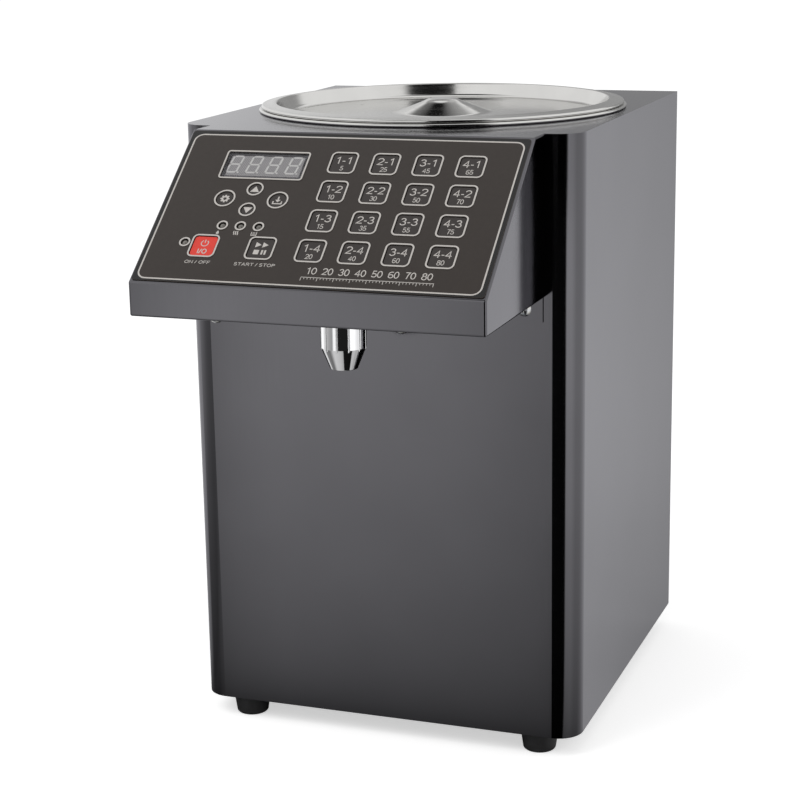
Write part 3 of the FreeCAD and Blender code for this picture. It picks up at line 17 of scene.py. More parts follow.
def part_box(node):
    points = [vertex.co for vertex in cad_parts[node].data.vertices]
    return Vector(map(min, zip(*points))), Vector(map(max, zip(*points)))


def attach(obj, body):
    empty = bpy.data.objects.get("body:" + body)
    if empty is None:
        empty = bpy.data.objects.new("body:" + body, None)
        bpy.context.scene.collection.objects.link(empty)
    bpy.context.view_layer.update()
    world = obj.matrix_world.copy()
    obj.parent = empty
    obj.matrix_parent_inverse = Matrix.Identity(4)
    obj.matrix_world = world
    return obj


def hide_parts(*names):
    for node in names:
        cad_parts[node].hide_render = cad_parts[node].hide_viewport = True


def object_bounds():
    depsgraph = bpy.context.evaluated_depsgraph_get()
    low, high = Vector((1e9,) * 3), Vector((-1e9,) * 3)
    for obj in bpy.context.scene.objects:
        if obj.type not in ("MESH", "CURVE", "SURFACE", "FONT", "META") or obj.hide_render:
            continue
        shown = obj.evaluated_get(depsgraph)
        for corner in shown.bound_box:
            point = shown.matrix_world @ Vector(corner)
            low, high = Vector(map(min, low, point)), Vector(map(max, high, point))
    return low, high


bl_info = {
    "name": "Syrup Dispenser Dressing",
    "version": (1, 0, 0),
    "blender": (4, 5, 0),
    "location": "3D View > Sidebar > Dispenser",
    "description": "Finishes, panel printing and studio of a counter-top syrup dispenser",
    "category": "Object",
}

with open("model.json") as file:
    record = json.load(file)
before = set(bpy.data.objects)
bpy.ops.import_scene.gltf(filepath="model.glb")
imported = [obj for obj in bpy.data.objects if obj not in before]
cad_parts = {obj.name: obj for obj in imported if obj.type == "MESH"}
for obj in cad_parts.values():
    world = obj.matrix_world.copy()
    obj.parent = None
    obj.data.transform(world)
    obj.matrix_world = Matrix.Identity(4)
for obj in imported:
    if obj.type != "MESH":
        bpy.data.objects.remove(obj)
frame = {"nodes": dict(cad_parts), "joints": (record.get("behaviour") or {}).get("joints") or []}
CAD_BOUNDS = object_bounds()

MM = 0.001
HOUSING = "housing"
FINISH_NAME = "{}_finish"
INK_SINK = 0.02                 # millimetres that ink goes into what it is printed on
CURVE_STEPS = 12                # straight pieces in a quarter turn of a printed outline
SPACING = 0.07                  # room between characters, in heights
SPIN_STEPS = 288                # straight pieces in a whole turn of spun sheet

SHEET_NODES = ("casing_wrap", "top_deck", "rear_panel", "base_plate", "head_shell",
               "head_bottom_plate")
DOSE_COLUMNS = 4
DOSE_ROWS = 4
DOSE_STEP = 5                   # grams from one dose key to the next


# ---- settings

def length(name, description, millimetres):
    return FloatProperty(name=name, description=description, default=millimetres * MM,
                         min=0.0, precision=5, unit="LENGTH", subtype="DISTANCE")


def colour(name, description, *rgb):
    return FloatVectorProperty(name=name, description=description, default=rgb,
                               min=0.0, max=1.0, size=3, subtype="COLOR")


def share(name, description, default):
    return FloatProperty(name=name, description=description, default=default,
                         min=0.0, max=1.0, subtype="FACTOR")


def angle(name, description, degrees):
    return FloatProperty(name=name, description=description, default=math.radians(degrees),
                         unit="ROTATION", subtype="ANGLE")


def watts(name, description, default):
    return FloatProperty(name=name, description=description, default=default, min=0.0,
                         unit="POWER")


class DispenserPrinting(bpy.types.PropertyGroup):
    """Sizes of the ink on the control panel."""

    ink: length("Ink Height", "How far the ink stands proud", 0.05)
    line_width: length("Line Width", "Width of the line that frames the panel", 1.0)
    line_side: length("Line Side Margin", "From the film's side edges to the line", 2.5)
    line_top: length("Line Top Margin", "From the film's upper edge to the line", 2.7)
    line_bottom: length("Line Bottom Margin", "From the film's lower edge to the line", 1.3)
    line_radius: length("Line Corner Radius", "Outer radius of the line's corners", 6.0)
    dose_name: length("Dose Name Height", "Height of the name on a dose key", 5.6)
    dose_name_width: length("Dose Name Width", "Width of the name on a dose key", 11.4)
    dose_amount: length("Dose Amount Height", "Height of the amount on a dose key", 3.7)
    caption: length("Caption Height", "Height of the captions under the switches", 2.3)
    symbol: length("Symbol Height", "Height of the symbols under the lamps", 3.0)
    scale_digit: length("Scale Digit Height", "Height of the numbers on the dose scale", 5.0)
    scale_ticks: IntProperty(name="Scale Ticks", description="Ticks between two numbers",
                             default=5, min=1)


class DispenserFinish(bpy.types.PropertyGroup):
    """Colours of the machine's main surfaces."""

    sheet: colour("Coated Sheet", "Dark coated stainless sheet", 0.132, 0.130, 0.140)
    sheet_edge: colour("Coated Sheet Edge Tint", "The sheet's tint at a grazing look",
                       0.80, 0.80, 0.82)
    polished: colour("Polished Steel", "Tank and lid", 0.66, 0.655, 0.64)
    film: colour("Panel Film", "Printed film inside the line", 0.036, 0.029, 0.025)
    border: colour("Panel Border", "Printed film outside the line", 0.016, 0.016, 0.016)
    ink: colour("Ink", "Light printing and rings", 0.56, 0.53, 0.50)
    key: colour("Key", "Dark keys", 0.036, 0.030, 0.028)
    power_key: colour("Power Key", "Red key", 0.74, 0.055, 0.038)
    chrome: colour("Chrome", "Nozzle cap", 0.86, 0.86, 0.87)
    rubber: colour("Rubber", "Feet", 0.020, 0.020, 0.021)


class DispenserStage(bpy.types.PropertyGroup):
    """Camera and light."""

    azimuth: angle("Azimuth", "The camera's turn to the right of the front", 20.176)
    elevation: angle("Elevation", "The camera's height above the horizon", 14.184)
    roll: angle("Roll", "The camera's roll", -0.989)
    position: FloatVectorProperty(name="Position", description="The camera's place", size=3,
                                  default=(0.44953, -1.25981, 0.55598),
                                  unit="LENGTH", subtype="TRANSLATION")
    lens: FloatProperty(name="Focal Length", description="The lens, in millimetres",
                        default=89.89, unit="CAMERA")
    sky: share("Sky Level", "Light from all round on matt surfaces", 0.55)
    key_light: watts("Key Light", "Power of the large lamp", 22.0)
    fill_light: watts("Fill Light", "Power of the side lamp", 9.0)
    floor: share("Floor", "The floor's paleness", 0.90)
    floor_glow: share("Floor Glow", "What the floor adds where it is seen", 0.55)


def print_sizes(context):
    """Settings of the printing, with its lengths in millimetres."""
    group = context.scene.dispenser_printing
    values = {name: getattr(group, name) for name in DispenserPrinting.__annotations__}
    return SimpleNamespace(**{name: value if isinstance(value, int) else value / MM
                              for name, value in values.items()})


# ---- node trees

def finish(name, sockets):
    """New material with constants on its shader's own sockets."""
    material = bpy.data.materials.new(FINISH_NAME.format(name))
    material.use_nodes = True
    shader = material.node_tree.nodes["Principled BSDF"]
    for socket, value in sockets.items():
        shader.inputs[socket].default_value = value
    return material, material.node_tree, shader


def rgba(values):
    return (values[0], values[1], values[2], 1.0)


def shade(values, factor):
    return tuple(min(1.0, v * factor) for v in values)


def new_node(tree, kind, inputs=None, **settings):
    """Outputs of a new node; each input gets a socket to follow or a constant."""
    node = tree.nodes.new(f"ShaderNode{kind}")
    for name, value in settings.items():
        setattr(node, name, value)
    for key, value in (inputs or {}).items():
        if isinstance(value, bpy.types.NodeSocket):
            tree.links.new(value, node.inputs[key])
        else:
            node.inputs[key].default_value = value
    return node.outputs


def surface_point(tree, stretch=(1, 1, 1)):
    """Coordinates of the surface, scaled per axis."""
    point = new_node(tree, "TexCoord")["Object"]
    return new_node(tree, "Mapping", {"Vector": point, "Scale": stretch})["Vector"]


def calculate(tree, operation, *values):
    """Arithmetic over sockets and numbers; more than two values make a chain of nodes."""
    result = new_node(tree, "Math", dict(enumerate(values[:2])), operation=operation)["Value"]
    return calculate(tree, operation, result, *values[2:]) if values[2:] else result


def reckon(tree, operation, vector, constant=(0, 0, 0)):
    """One node of arithmetic between a vector and a constant one."""
    outputs = new_node(tree, "VectorMath", {0: vector, 1: constant}, operation=operation)
    return outputs["Value" if operation in ("DOT_PRODUCT", "LENGTH") else "Vector"]


def remap(tree, value, low, high, new_low, new_high):
    return new_node(tree, "MapRange", {"Value": value, "From Min": low, "From Max": high,
                                       "To Min": new_low, "To Max": new_high})["Result"]


def grain(tree, size, detail=3.0, stretch=(1, 1, 1)):
    """Soft random pattern whose features are about one size across."""
    return new_node(tree, "TexNoise", {"Vector": surface_point(tree, stretch),
                                       "Scale": 1 / size, "Detail": detail})["Fac"]


def stripes(tree, pitch, direction, wobble):
    """Even stripes across a direction, a little wavy."""
    along = reckon(tree, "DOT_PRODUCT", surface_point(tree), Vector(direction).normalized())
    turns = calculate(tree, "MULTIPLY", along, 2 * math.pi / pitch)
    waves = calculate(tree, "MULTIPLY", grain(tree, 8 * pitch), wobble)
    return remap(tree, calculate(tree, "SINE", calculate(tree, "ADD", turns, waves)), -1, 1, 0, 1)


def turning_marks(tree, axis_y, size):
    """Rings around an upright axis, as a lathe or a spinning wheel leaves them."""
    from_axis = reckon(tree, "SUBTRACT", surface_point(tree), (0, axis_y, 0))
    radius = reckon(tree, "LENGTH", reckon(tree, "MULTIPLY", from_axis, (1, 1, 0.2)))
    return new_node(tree, "TexNoise", {"W": radius, "Scale": 1 / size, "Detail": 4.0},
                    noise_dimensions="1D")["Fac"]


def paint(tree, shader, value, first, second):
    """Mixes two colours by a value into the shader's colour."""
    mix = new_node(tree, "Mix", {"Factor": value, "A": rgba(first), "B": rgba(second)},
                   data_type="RGBA")
    tree.links.new(mix["Result"], shader.inputs["Base Color"])


def emboss(tree, shader, height, depth):
    """Adds a relief to the shader's normal; reliefs stack."""
    normal = shader.inputs["Normal"]
    inputs = {"Height": height, "Strength": 1.0, "Distance": depth}
    if normal.links:
        inputs["Normal"] = normal.links[0].from_socket
    tree.links.new(new_node(tree, "Bump", inputs)["Normal"], normal)


def mottle(tree, shader, base, size, spread):
    """Slight uneven colour about a base."""
    value = remap(tree, grain(tree, size, 4.0), 0.3, 0.7, 0, 1)
    paint(tree, shader, value, shade(base, 1 - spread), shade(base, 1 + spread))


def vary_roughness(tree, shader, value, low, high):
    tree.links.new(remap(tree, value, 0.3, 0.7, low, high), shader.inputs["Roughness"])


# ---- finishes that share one build; a colour is a setting's name or given here

# colour, grain, roughness, relief, spread of the colour, further sockets; sizes in millimetres
COATS = {
    "panel_film": ("film", 0.25, 0.34, 0.004, 0.05, {"Specular IOR Level": 0.30}),
    "panel_border": ("border", 0.25, 0.34, 0.004, 0.05, {"Specular IOR Level": 0.30}),
    "light_ink": ("ink", 0.3, 0.42, 0.006, 0.05, {}),
    "dark_key": ("key", 0.2, 0.36, 0.005, 0.08, {"Specular IOR Level": 0.35}),
    "power_key": ("power_key", 0.2, 0.36, 0.005, 0.04, {"Specular IOR Level": 0.35}),
    "moulded_black": ((0.026, 0.026, 0.028), 0.35, 0.45, 0.012, 0.06, {}),
    "moulded_white": ((0.76, 0.75, 0.71), 0.5, 0.40, 0.006, 0.03,
                      {"Subsurface Weight": 0.15, "Subsurface Scale": 1.5 * MM}),
    "enamel_black": ((0.030, 0.030, 0.033), 1.2, 0.22, 0.015, 0.05,
                     {"Coat Weight": 0.4, "Coat Roughness": 0.1}),
    "foot_rubber": ("rubber", 0.3, 0.62, 0.02, 0.15, {}),
    "cable_sheath": ((0.028, 0.028, 0.029), 0.4, 0.50, 0.01, 0.10, {}),
    "silicone_tube": ((0.72, 0.71, 0.66), 0.8, 0.30, 0.004, 0.04,
                      {"Subsurface Weight": 0.35, "Subsurface Scale": 3 * MM}),
    "lamp_lens": ((0.15, 0.14, 0.125), 0.5, 0.28, 0.03, 0.20, {"Coat Weight": 0.5}),
    "digit_segment": ((0.95, 0.94, 0.93), 0.5, 0.40, 0.004, 0.04, {}),
}


def coat(name, base, size, roughness, relief, spread, sockets):
    """Uneven matt or satin surface with a fine relief."""
    material, tree, shader = finish(name, sockets)
    patch, uneven = 12 * size, 0.06
    mottle(tree, shader, base, patch * MM, spread)
    texture = grain(tree, size * MM)
    vary_roughness(tree, shader, texture, roughness - uneven, roughness + uneven)
    emboss(tree, shader, texture, relief * MM)
    return material


# colour, size and spread of its patches; a grain in the gloss, its lowest and highest roughness; a
# grain in the relief, its depth; how directional the shine is.  A grain is size, detail and any stretch.
METALS = {
    "chrome_plate": ("chrome", 6, 0.02, (1.5, 4.0), 0.03, 0.08,
                     (0.4, 2.0), 0.0005, 0.0),
    "cast_aluminium": ((0.60, 0.61, 0.62), 9, 0.08, (0.5, 3.0), 0.38, 0.52,
                       (0.35, 4.0), 0.02, 0.0),
    "machined_steel": ((0.50, 0.50, 0.51), 5, 0.05, (0.25, 2.0, (0.05, 1, 1)), 0.20, 0.34,
                       (0.25, 2.0, (0.05, 1, 1)), 0.003, 0.3),
    "machined_brass": ((0.74, 0.55, 0.27), 4, 0.07, (0.2, 2.0, (1, 1, 8)), 0.20, 0.34,
                       (0.2, 2.0, (1, 1, 8)), 0.003, 0.0),
}


def metal(name, base, patch, spread, gloss, low, high, relief, depth, direction):
    """Bare metal with working marks."""
    material, tree, shader = finish(name, {"Metallic": 1.0, "Anisotropic": direction})
    mottle(tree, shader, base, patch * MM, spread)
    vary_roughness(tree, shader, grain(tree, gloss[0] * MM, *gloss[1:]), low, high)
    emboss(tree, shader, grain(tree, relief[0] * MM, *relief[1:]), depth * MM)
    return material


# ---- finishes with a build of their own

def coated_sheet(colours):
    """Dark glossy coating over fine-brushed stainless sheet."""
    material, tree, shader = finish("coated_sheet", {
        "Metallic": 1.0, "Specular Tint": rgba(colours.sheet_edge)})
    mottle(tree, shader, colours.sheet, 60 * MM, 0.03)
    hairlines = grain(tree, 0.9 * MM, 2.0, (1, 1, 0.02))
    vary_roughness(tree, shader, hairlines, 0.09, 0.13)
    emboss(tree, shader, grain(tree, 110 * MM, 1.0), 0.05 * MM)
    emboss(tree, shader, hairlines, 0.0006 * MM)
    return material


def polished_steel(colours):
    """Bright stainless with the fine rings of a polishing wheel."""
    material, tree, shader = finish("polished_steel", {
        "Metallic": 1.0, "Anisotropic": 0.8, "Specular Tint": (0.9, 0.9, 0.9, 1)})
    low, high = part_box("tank")
    rings = turning_marks(tree, (low.y + high.y) / 2, 0.7 * MM)
    mottle(tree, shader, colours.polished, 25 * MM, 0.03)
    vary_roughness(tree, shader, rings, 0.07, 0.13)
    emboss(tree, shader, rings, 0.0012 * MM)
    tangent = new_node(tree, "Tangent", direction_type="RADIAL", axis="Z")["Tangent"]
    tree.links.new(tangent, shader.inputs["Tangent"])
    return material


def zinc_plate(_colours):
    """Bright zinc, clouded blue and straw."""
    material, tree, shader = finish("zinc_plate", {"Metallic": 1.0})
    clouds = remap(tree, grain(tree, 3 * MM, 4.0), 0.35, 0.65, 0, 1)
    paint(tree, shader, clouds, (0.60, 0.62, 0.66), (0.70, 0.68, 0.62))
    vary_roughness(tree, shader, grain(tree, 0.6 * MM), 0.16, 0.30)
    emboss(tree, shader, grain(tree, 0.3 * MM), 0.002 * MM)
    return material


def printed_ring(colours):
    """Raised ring with ink on its crest; its flanks get a darker copy of the ink, which is painted
    shade.
    """
    material, tree, shader = finish("printed_ring", {})
    outward = panel_frame().to_3x3().col[2].normalized()
    upright = reckon(tree, "DOT_PRODUCT", new_node(tree, "NewGeometry")["Normal"], outward)
    crest = remap(tree, upright, 0.6, 0.95, 0, 1)
    # the crest keeps the ink; the flanks get the ink at 0.3 of its brightness, painted shade on the
    # ring's sides
    paint(tree, shader, crest, shade(colours.ink, 0.30), colours.ink)
    vary_roughness(tree, shader, grain(tree, 0.3 * MM), 0.36, 0.48)
    emboss(tree, shader, grain(tree, 0.3 * MM), 0.006 * MM)
    return material


def smoked_window(_colours):
    """Thin tinted acrylic; what lies behind shows through."""
    material, tree, shader = finish("smoked_window", {"Alpha": 0.16, "IOR": 1.49})
    mottle(tree, shader, (0.120, 0.115, 0.118), 10 * MM, 0.05)
    vary_roughness(tree, shader, grain(tree, 2 * MM), 0.06, 0.12)
    emboss(tree, shader, grain(tree, 30 * MM, 1.0), 0.01 * MM)
    return material


def display_face(_colours):
    """Grey face of the display block, with the fine diagonal weave of its filter."""
    material, tree, shader = finish("display_face", {})
    weave = stripes(tree, 1.1 * MM, (1, 0.8, 0.6), 2.0)
    paint(tree, shader, weave, (0.36, 0.35, 0.36), (0.52, 0.51, 0.52))
    vary_roughness(tree, shader, grain(tree, 1 * MM), 0.35, 0.5)
    emboss(tree, shader, weave, 0.02 * MM)
    return material


def solder_mask(_colours):
    """Green laminate with copper tracks under its lacquer."""
    material, tree, shader = finish("solder_mask", {"Coat Weight": 0.5, "Coat Roughness": 0.15})
    edges = remap(tree, stripes(tree, 2.5 * MM, (1, 0.2, 0.15), 6.0), 0.55, 0.70, 0, 1)
    paint(tree, shader, edges, (0.018, 0.105, 0.045), (0.040, 0.185, 0.075))
    cells = new_node(tree, "TexVoronoi", {"Vector": surface_point(tree), "Scale": 1 / (1.5 * MM)})
    vary_roughness(tree, shader, cells["Distance"], 0.30, 0.42)
    emboss(tree, shader, edges, 0.03 * MM)
    return material


OWN_BUILDS = (coated_sheet, polished_steel, zinc_plate, printed_ring, smoked_window, display_face,
              solder_mask)


def material_named(context, name):
    """The finish of that name, made the first time it is asked for."""
    made = bpy.data.materials.get(FINISH_NAME.format(name))
    if made:
        return made
    colours = context.scene.dispenser_finish
    for table, build in ((COATS, coat), (METALS, metal)):
        if name in table:
            base, *values = table[name]
            return build(name, getattr(colours, base) if isinstance(base, str) else base, *values)
    return next(build for build in OWN_BUILDS if build.__name__ == name)(colours)


def dress(context, name, *nodes):
    """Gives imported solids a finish."""
    material = material_named(context, name)
    for node in nodes:
        for slot in frame["nodes"][node].material_slots:
            slot.material = material


# ---- the sloping panel's coordinates: millimetres to the right, up the slope and out of it

def panel_frame():
    """Takes panel coordinates into the frame's."""
    press = next(j for j in frame["joints"] if j["name"] == "key_power_press")
    outward = -Vector(press["axis"])
    right = Vector((1, 0, 0))
    turn = Matrix((right, outward.cross(right), outward)).transposed().to_4x4()
    return turn @ Matrix.Scale(MM, 4)


def panel_points(node):
    """A solid's points in panel coordinates."""
    back = panel_frame().inverted()
    return [back @ vertex.co for vertex in frame["nodes"][node].data.vertices]


def panel_box(node):
    """Lowest and highest corner of a solid in panel coordinates."""
    axes = list(zip(*panel_points(node)))
    return Vector([min(axis) for axis in axes]), Vector([max(axis) for axis in axes])


def panel_seat(node):
    """Middle of a solid's outer face in panel coordinates."""
    low, high = panel_box(node)
    return Vector(((low.x + high.x) / 2, (low.y + high.y) / 2, high.z))


# ---- outlines of ink shapes

def arc(centre, radius, start, end, steps=CURVE_STEPS):
    """Points on an arc; angles in degrees, anticlockwise from +x."""
    turns = [math.radians(start + (end - start) * i / steps) for i in range(steps + 1)]
    return [(centre[0] + radius * math.cos(t), centre[1] + radius * math.sin(t)) for t in turns]


def disc(centre, radius):
    return arc(centre, radius, 0, 360, 4 * CURVE_STEPS)[:-1]


def ring(x, y, half_width, half_height):
    """Closed stroke around an ellipse."""
    return [None] + [(x + half_width * u, y + half_height * v)
                     for u, v in arc((0, 0), 1.0, 0, 360, 2 * CURVE_STEPS)[:-1]]


def rectangle(left, right, bottom, top, radius=0.0):
    """Rectangle, with round corners where a radius is given."""
    if radius <= 0:
        return [(left, bottom), (right, bottom), (right, top), (left, top)]
    corners = ((right - radius, top - radius, 0), (left + radius, top - radius, 90),
               (left + radius, bottom + radius, 180), (right - radius, bottom + radius, 270))
    points = []
    for x, y, start in corners:
        points += arc((x, y), radius, start, start + 90, CURVE_STEPS // 2)
    return points


# Each character is its width and the middle lines of its strokes, in heights from its lower left
# corner; a stroke whose first point is None is closed.
GLYPHS = {
    "0": (0.56, [ring(0.28, 0.5, 0.24, 0.46)]),
    "1": (0.50, [[(0.10, 0.76), (0.32, 0.96), (0.32, 0.0)]]),
    "2": (0.56, [arc((0.28, 0.70), 0.25, 170, -32, 9) + [(0.03, 0.04), (0.54, 0.04)]]),
    "3": (0.56, [arc((0.27, 0.74), 0.21, 165, -90, 9) + arc((0.27, 0.28), 0.25, 88, -165, 9)]),
    "4": (0.58, [[(0.41, 0.0), (0.41, 0.93), (0.03, 0.30), (0.57, 0.30)]]),
    "5": (0.56, [[(0.49, 0.96), (0.15, 0.96), (0.08, 0.50)] + arc((0.27, 0.32), 0.27, 125, -160, 9)]),
    "6": (0.56, [arc((0.36, 0.62), 0.32, 60, 175, 6) + arc((0.29, 0.30), 0.25, 175, 530, 14)]),
    "7": (0.54, [[(0.04, 0.96), (0.50, 0.96), (0.33, 0.62), (0.22, 0.0)]]),
    "8": (0.56, [ring(0.28, 0.74, 0.20, 0.21), ring(0.28, 0.27, 0.25, 0.26)]),
    "-": (0.36, [[(0.05, 0.38), (0.31, 0.38)]]),
    "/": (0.34, [[(0.02, 0.0), (0.30, 1.0)]]),
    " ": (0.20, []),
    "A": (0.70, [[(0.04, 0.0), (0.34, 0.96), (0.64, 0.0)], [(0.15, 0.32), (0.53, 0.32)]]),
    "F": (0.56, [[(0.08, 0.0), (0.08, 0.96), (0.54, 0.96)], [(0.08, 0.50), (0.46, 0.50)]]),
    "I": (0.26, [[(0.13, 0.0), (0.13, 1.0)]]),
    "N": (0.70, [[(0.08, 0.0), (0.08, 0.94), (0.62, 0.06), (0.62, 1.0)]]),
    "O": (0.76, [ring(0.38, 0.5, 0.33, 0.46)]),
    "P": (0.60, [[(0.08, 0.0), (0.08, 0.96)] + arc((0.30, 0.72), 0.24, 90, -90, 8)
                 + [(0.08, 0.48)]]),
    "R": (0.66, [[(0.08, 0.0), (0.08, 0.96)] + arc((0.32, 0.73), 0.23, 90, -90, 8)
                 + [(0.08, 0.50)], [(0.34, 0.50), (0.60, 0.0)]]),
    "S": (0.62, [arc((0.31, 0.73), 0.23, 25, 265, 8) + arc((0.30, 0.27), 0.25, 85, -160, 8)]),
    "T": (0.62, [[(0.31, 0.0), (0.31, 0.96)], [(0.02, 0.96), (0.60, 0.96)]]),
}


# ---- ink

def join_rows(shell, rows, closed, round_rows=True):
    """Fills the squares between neighbouring rows of vertices."""
    for row, following in zip(rows, rows[1:] + rows[:closed]):
        for i in range(len(row) if round_rows else len(row) - 1):
            j = (i + 1) % len(row)
            shell.faces.new((row[i], row[j], following[j], following[i]))


class Ink:
    """Flat shapes in one plane, in millimetres, gathered and then cast as one thin piece."""

    def __init__(self):
        self.mesh = bmesh.new()

    def shape(self, *loops):
        """Adds a filled outline; further loops inside the first are holes."""
        curve = bpy.data.curves.new("ink_outline", "CURVE")
        curve.dimensions = "2D"
        curve.fill_mode = "BOTH"
        curve.extrude = 0.5
        for loop in loops:
            spline = curve.splines.new("POLY")
            spline.points.add(len(loop) - 1)
            for point, (x, y) in zip(spline.points, loop):
                point.co = (x, y, 0, 1)
            spline.use_cyclic_u = True
        carrier = bpy.data.objects.new("ink_carrier", curve)
        filled = bpy.data.meshes.new_from_object(carrier)
        self.mesh.from_mesh(filled)
        bpy.data.meshes.remove(filled)
        bpy.data.objects.remove(carrier)
        bpy.data.curves.remove(curve)

    def trace(self, points, width):
        """Adds a line of one width along points, with mitred corners; None first closes it."""
        closed = points[0] is None
        line = [Vector(p) for p in points[1 if closed else 0:]]
        count = len(line)
        rows = []
        for i, point in enumerate(line):
            before = (point - line[i - 1]) if i or closed else line[1] - line[0]
            after = (line[(i + 1) % count] - point) if i < count - 1 or closed else before
            middle = (before.normalized() + after.normalized()).normalized()
            side = Vector((-middle.y, middle.x))
            reach = width / 2 / max(0.5, middle.dot(after.normalized()))
            rows.append([self.mesh.verts.new((*(point + side * sign * reach), level))
                         for sign, level in ((1, 0.5), (-1, 0.5), (-1, -0.5), (1, -0.5))])
        join_rows(self.mesh, rows, closed)
        if not closed:
            self.mesh.faces.new(rows[0])
            self.mesh.faces.new(rows[-1])

    def words(self, text, x, y, height, width=None, weight=0.12):
        """Adds lettering centred on a point; a width stretches it; weight is in heights."""
        advance = sum(GLYPHS[letter][0] + SPACING for letter in text)
        wide = (width or advance * height) / advance
        left = x - (advance - SPACING) * wide / 2
        for letter in text:
            step, strokes = GLYPHS[letter]
            for line in strokes:
                self.trace([p and (left + p[0] * wide, y + (p[1] - 0.5) * height) for p in line],
                           weight * height)
            left += (step + SPACING) * wide

    def cast(self, context, name, seat, body, finish_name, height=None):
        """Makes the piece: its shapes lie about the seat, a point in panel coordinates."""
        height = height or print_sizes(context).ink
        for vertex in self.mesh.verts:
            vertex.co.z = height if vertex.co.z > 0 else -INK_SINK
        bmesh.ops.remove_doubles(self.mesh, verts=self.mesh.verts, dist=0.0001)
        bmesh.ops.recalc_face_normals(self.mesh, faces=self.mesh.faces)
        data = bpy.data.meshes.new(name)
        self.mesh.to_mesh(data)
        self.mesh.free()
        data.transform(panel_frame() @ Matrix.Translation(seat))
        return add_piece(context, name, data, body, finish_name)

    def print_on_film(self, context, name):
        """Makes the piece in light ink on the panel film, about the film's middle."""
        film = panel_seat("panel_overlay")
        return self.cast(context, name, film, HOUSING, "light_ink")

    def print_on_key(self, context, key):
        """Makes the piece in light ink on a key, about the key's middle."""
        return self.cast(context, f"{key}_print", panel_seat(key), key, "light_ink")


def put_in_scene(context, name, data):
    """New object in the scene."""
    item = bpy.data.objects.new(name, data)
    context.scene.collection.objects.link(item)
    return item


def add_piece(context, name, data, body, finish_name):
    """Adds a mesh as a piece that rides on a body, with its finish."""
    piece = put_in_scene(context, name, data)
    data.materials.append(material_named(context, finish_name))
    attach(piece, body)
    return piece


def expect(condition, message):
    """Stops the script, because a cancelled operator wouldn't."""
    if not condition:
        raise RuntimeError(message)


# ---- spun sheet; sections give radii and heights in millimetres

def rounded(points, radius, steps=6):
    """A line of points with its inner corners rounded."""
    line = [Vector(p) for p in points]
    bent = [line[0]]
    for before, corner, after in zip(line, line[1:], line[2:]):
        back, onward = before - corner, after - corner
        cut = min(radius, 0.45 * back.length, 0.45 * onward.length)
        start, stop = corner + back.normalized() * cut, corner + onward.normalized() * cut
        for i in range(steps + 1):
            t = i / steps
            bent.append(start * (1 - t) ** 2 + corner * (2 * t * (1 - t)) + stop * t ** 2)
    return bent + [line[-1]]


def spun(section, axis):
    """Shape turned about an upright axis, from a closed section."""
    shell = bmesh.new()
    rows = []
    for i in range(SPIN_STEPS):
        turn = 2 * math.pi * i / SPIN_STEPS
        out = Vector((math.cos(turn), math.sin(turn), 0)) * MM
        rows.append([shell.verts.new(axis + out * radius + Vector((0, 0, height * MM)))
                     for radius, height in section])
    join_rows(shell, rows, closed=True)
    return shell


def finished_mesh(shell, name, sharp=40):
    """Closes a shape into a mesh that is smooth up to an angle in degrees."""
    bmesh.ops.remove_doubles(shell, verts=shell.verts, dist=0.001 * MM)
    bmesh.ops.recalc_face_normals(shell, faces=shell.faces)
    for edge in shell.edges:
        edge.smooth = edge.calc_face_angle(0.0) < math.radians(sharp)
    for face in shell.faces:
        face.smooth = True
    data = bpy.data.meshes.new(name)
    shell.to_mesh(data)
    shell.free()
    return data


def drilled(context, data, centre, radius, depth):
    """The mesh with an upright hole through it."""
    bit = spun([(0, -depth), (radius, -depth), (radius, depth), (0, depth)], centre)
    cutter = put_in_scene(context, "bit", finished_mesh(bit, "bit"))
    work = put_in_scene(context, "work", data)
    cut = work.modifiers.new("hole", "BOOLEAN")
    cut.object = cutter
    cut.operation = "DIFFERENCE"
    context.view_layer.update()
    result = bpy.data.meshes.new_from_object(
        work.evaluated_get(context.evaluated_depsgraph_get()))
    for item in (cutter, work):
        bpy.data.objects.remove(item)
    shell = bmesh.new()
    shell.from_mesh(result)
    return finished_mesh(shell, data.name)


def lid_axis(height):
    """The point at a height on the upright line through the lid's middle."""
    low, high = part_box("lid")
    return Vector(((low.x + high.x) / 2, (low.y + high.y) / 2, height))


# ---- operators: casing, tank and what lies inside

class DISPENSER_OT_sheet_metal(bpy.types.Operator):
    """Coat the casing, the deck, the base and the control head"""

    bl_idname = "dispenser.sheet_metal"
    bl_label = "Sheet Metal"

    def execute(self, context):
        dress(context, "coated_sheet", *SHEET_NODES)
        return {"FINISHED"}


class DISPENSER_OT_tank(bpy.types.Operator):
    """Polish the tank and the bands around it, and roll its flange"""

    bl_idname = "dispenser.tank"
    bl_label = "Tank"

    def execute(self, context):
        dress(context, "polished_steel", "tank", "heater_band", "hose_clamps")
        inner, bead_middle, floor = 117.6, 125.8, -1.0
        section = [(inner, 0.02)] + arc((bead_middle, -1.1), 1.12, 90, -90)
        section += [(bead_middle, floor), (inner, floor)]
        data = finished_mesh(spun(section, lid_axis(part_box("tank")[1].z)), "tank_flange")
        add_piece(context, "tank_flange", data, HOUSING, "polished_steel")
        return {"FINISHED"}


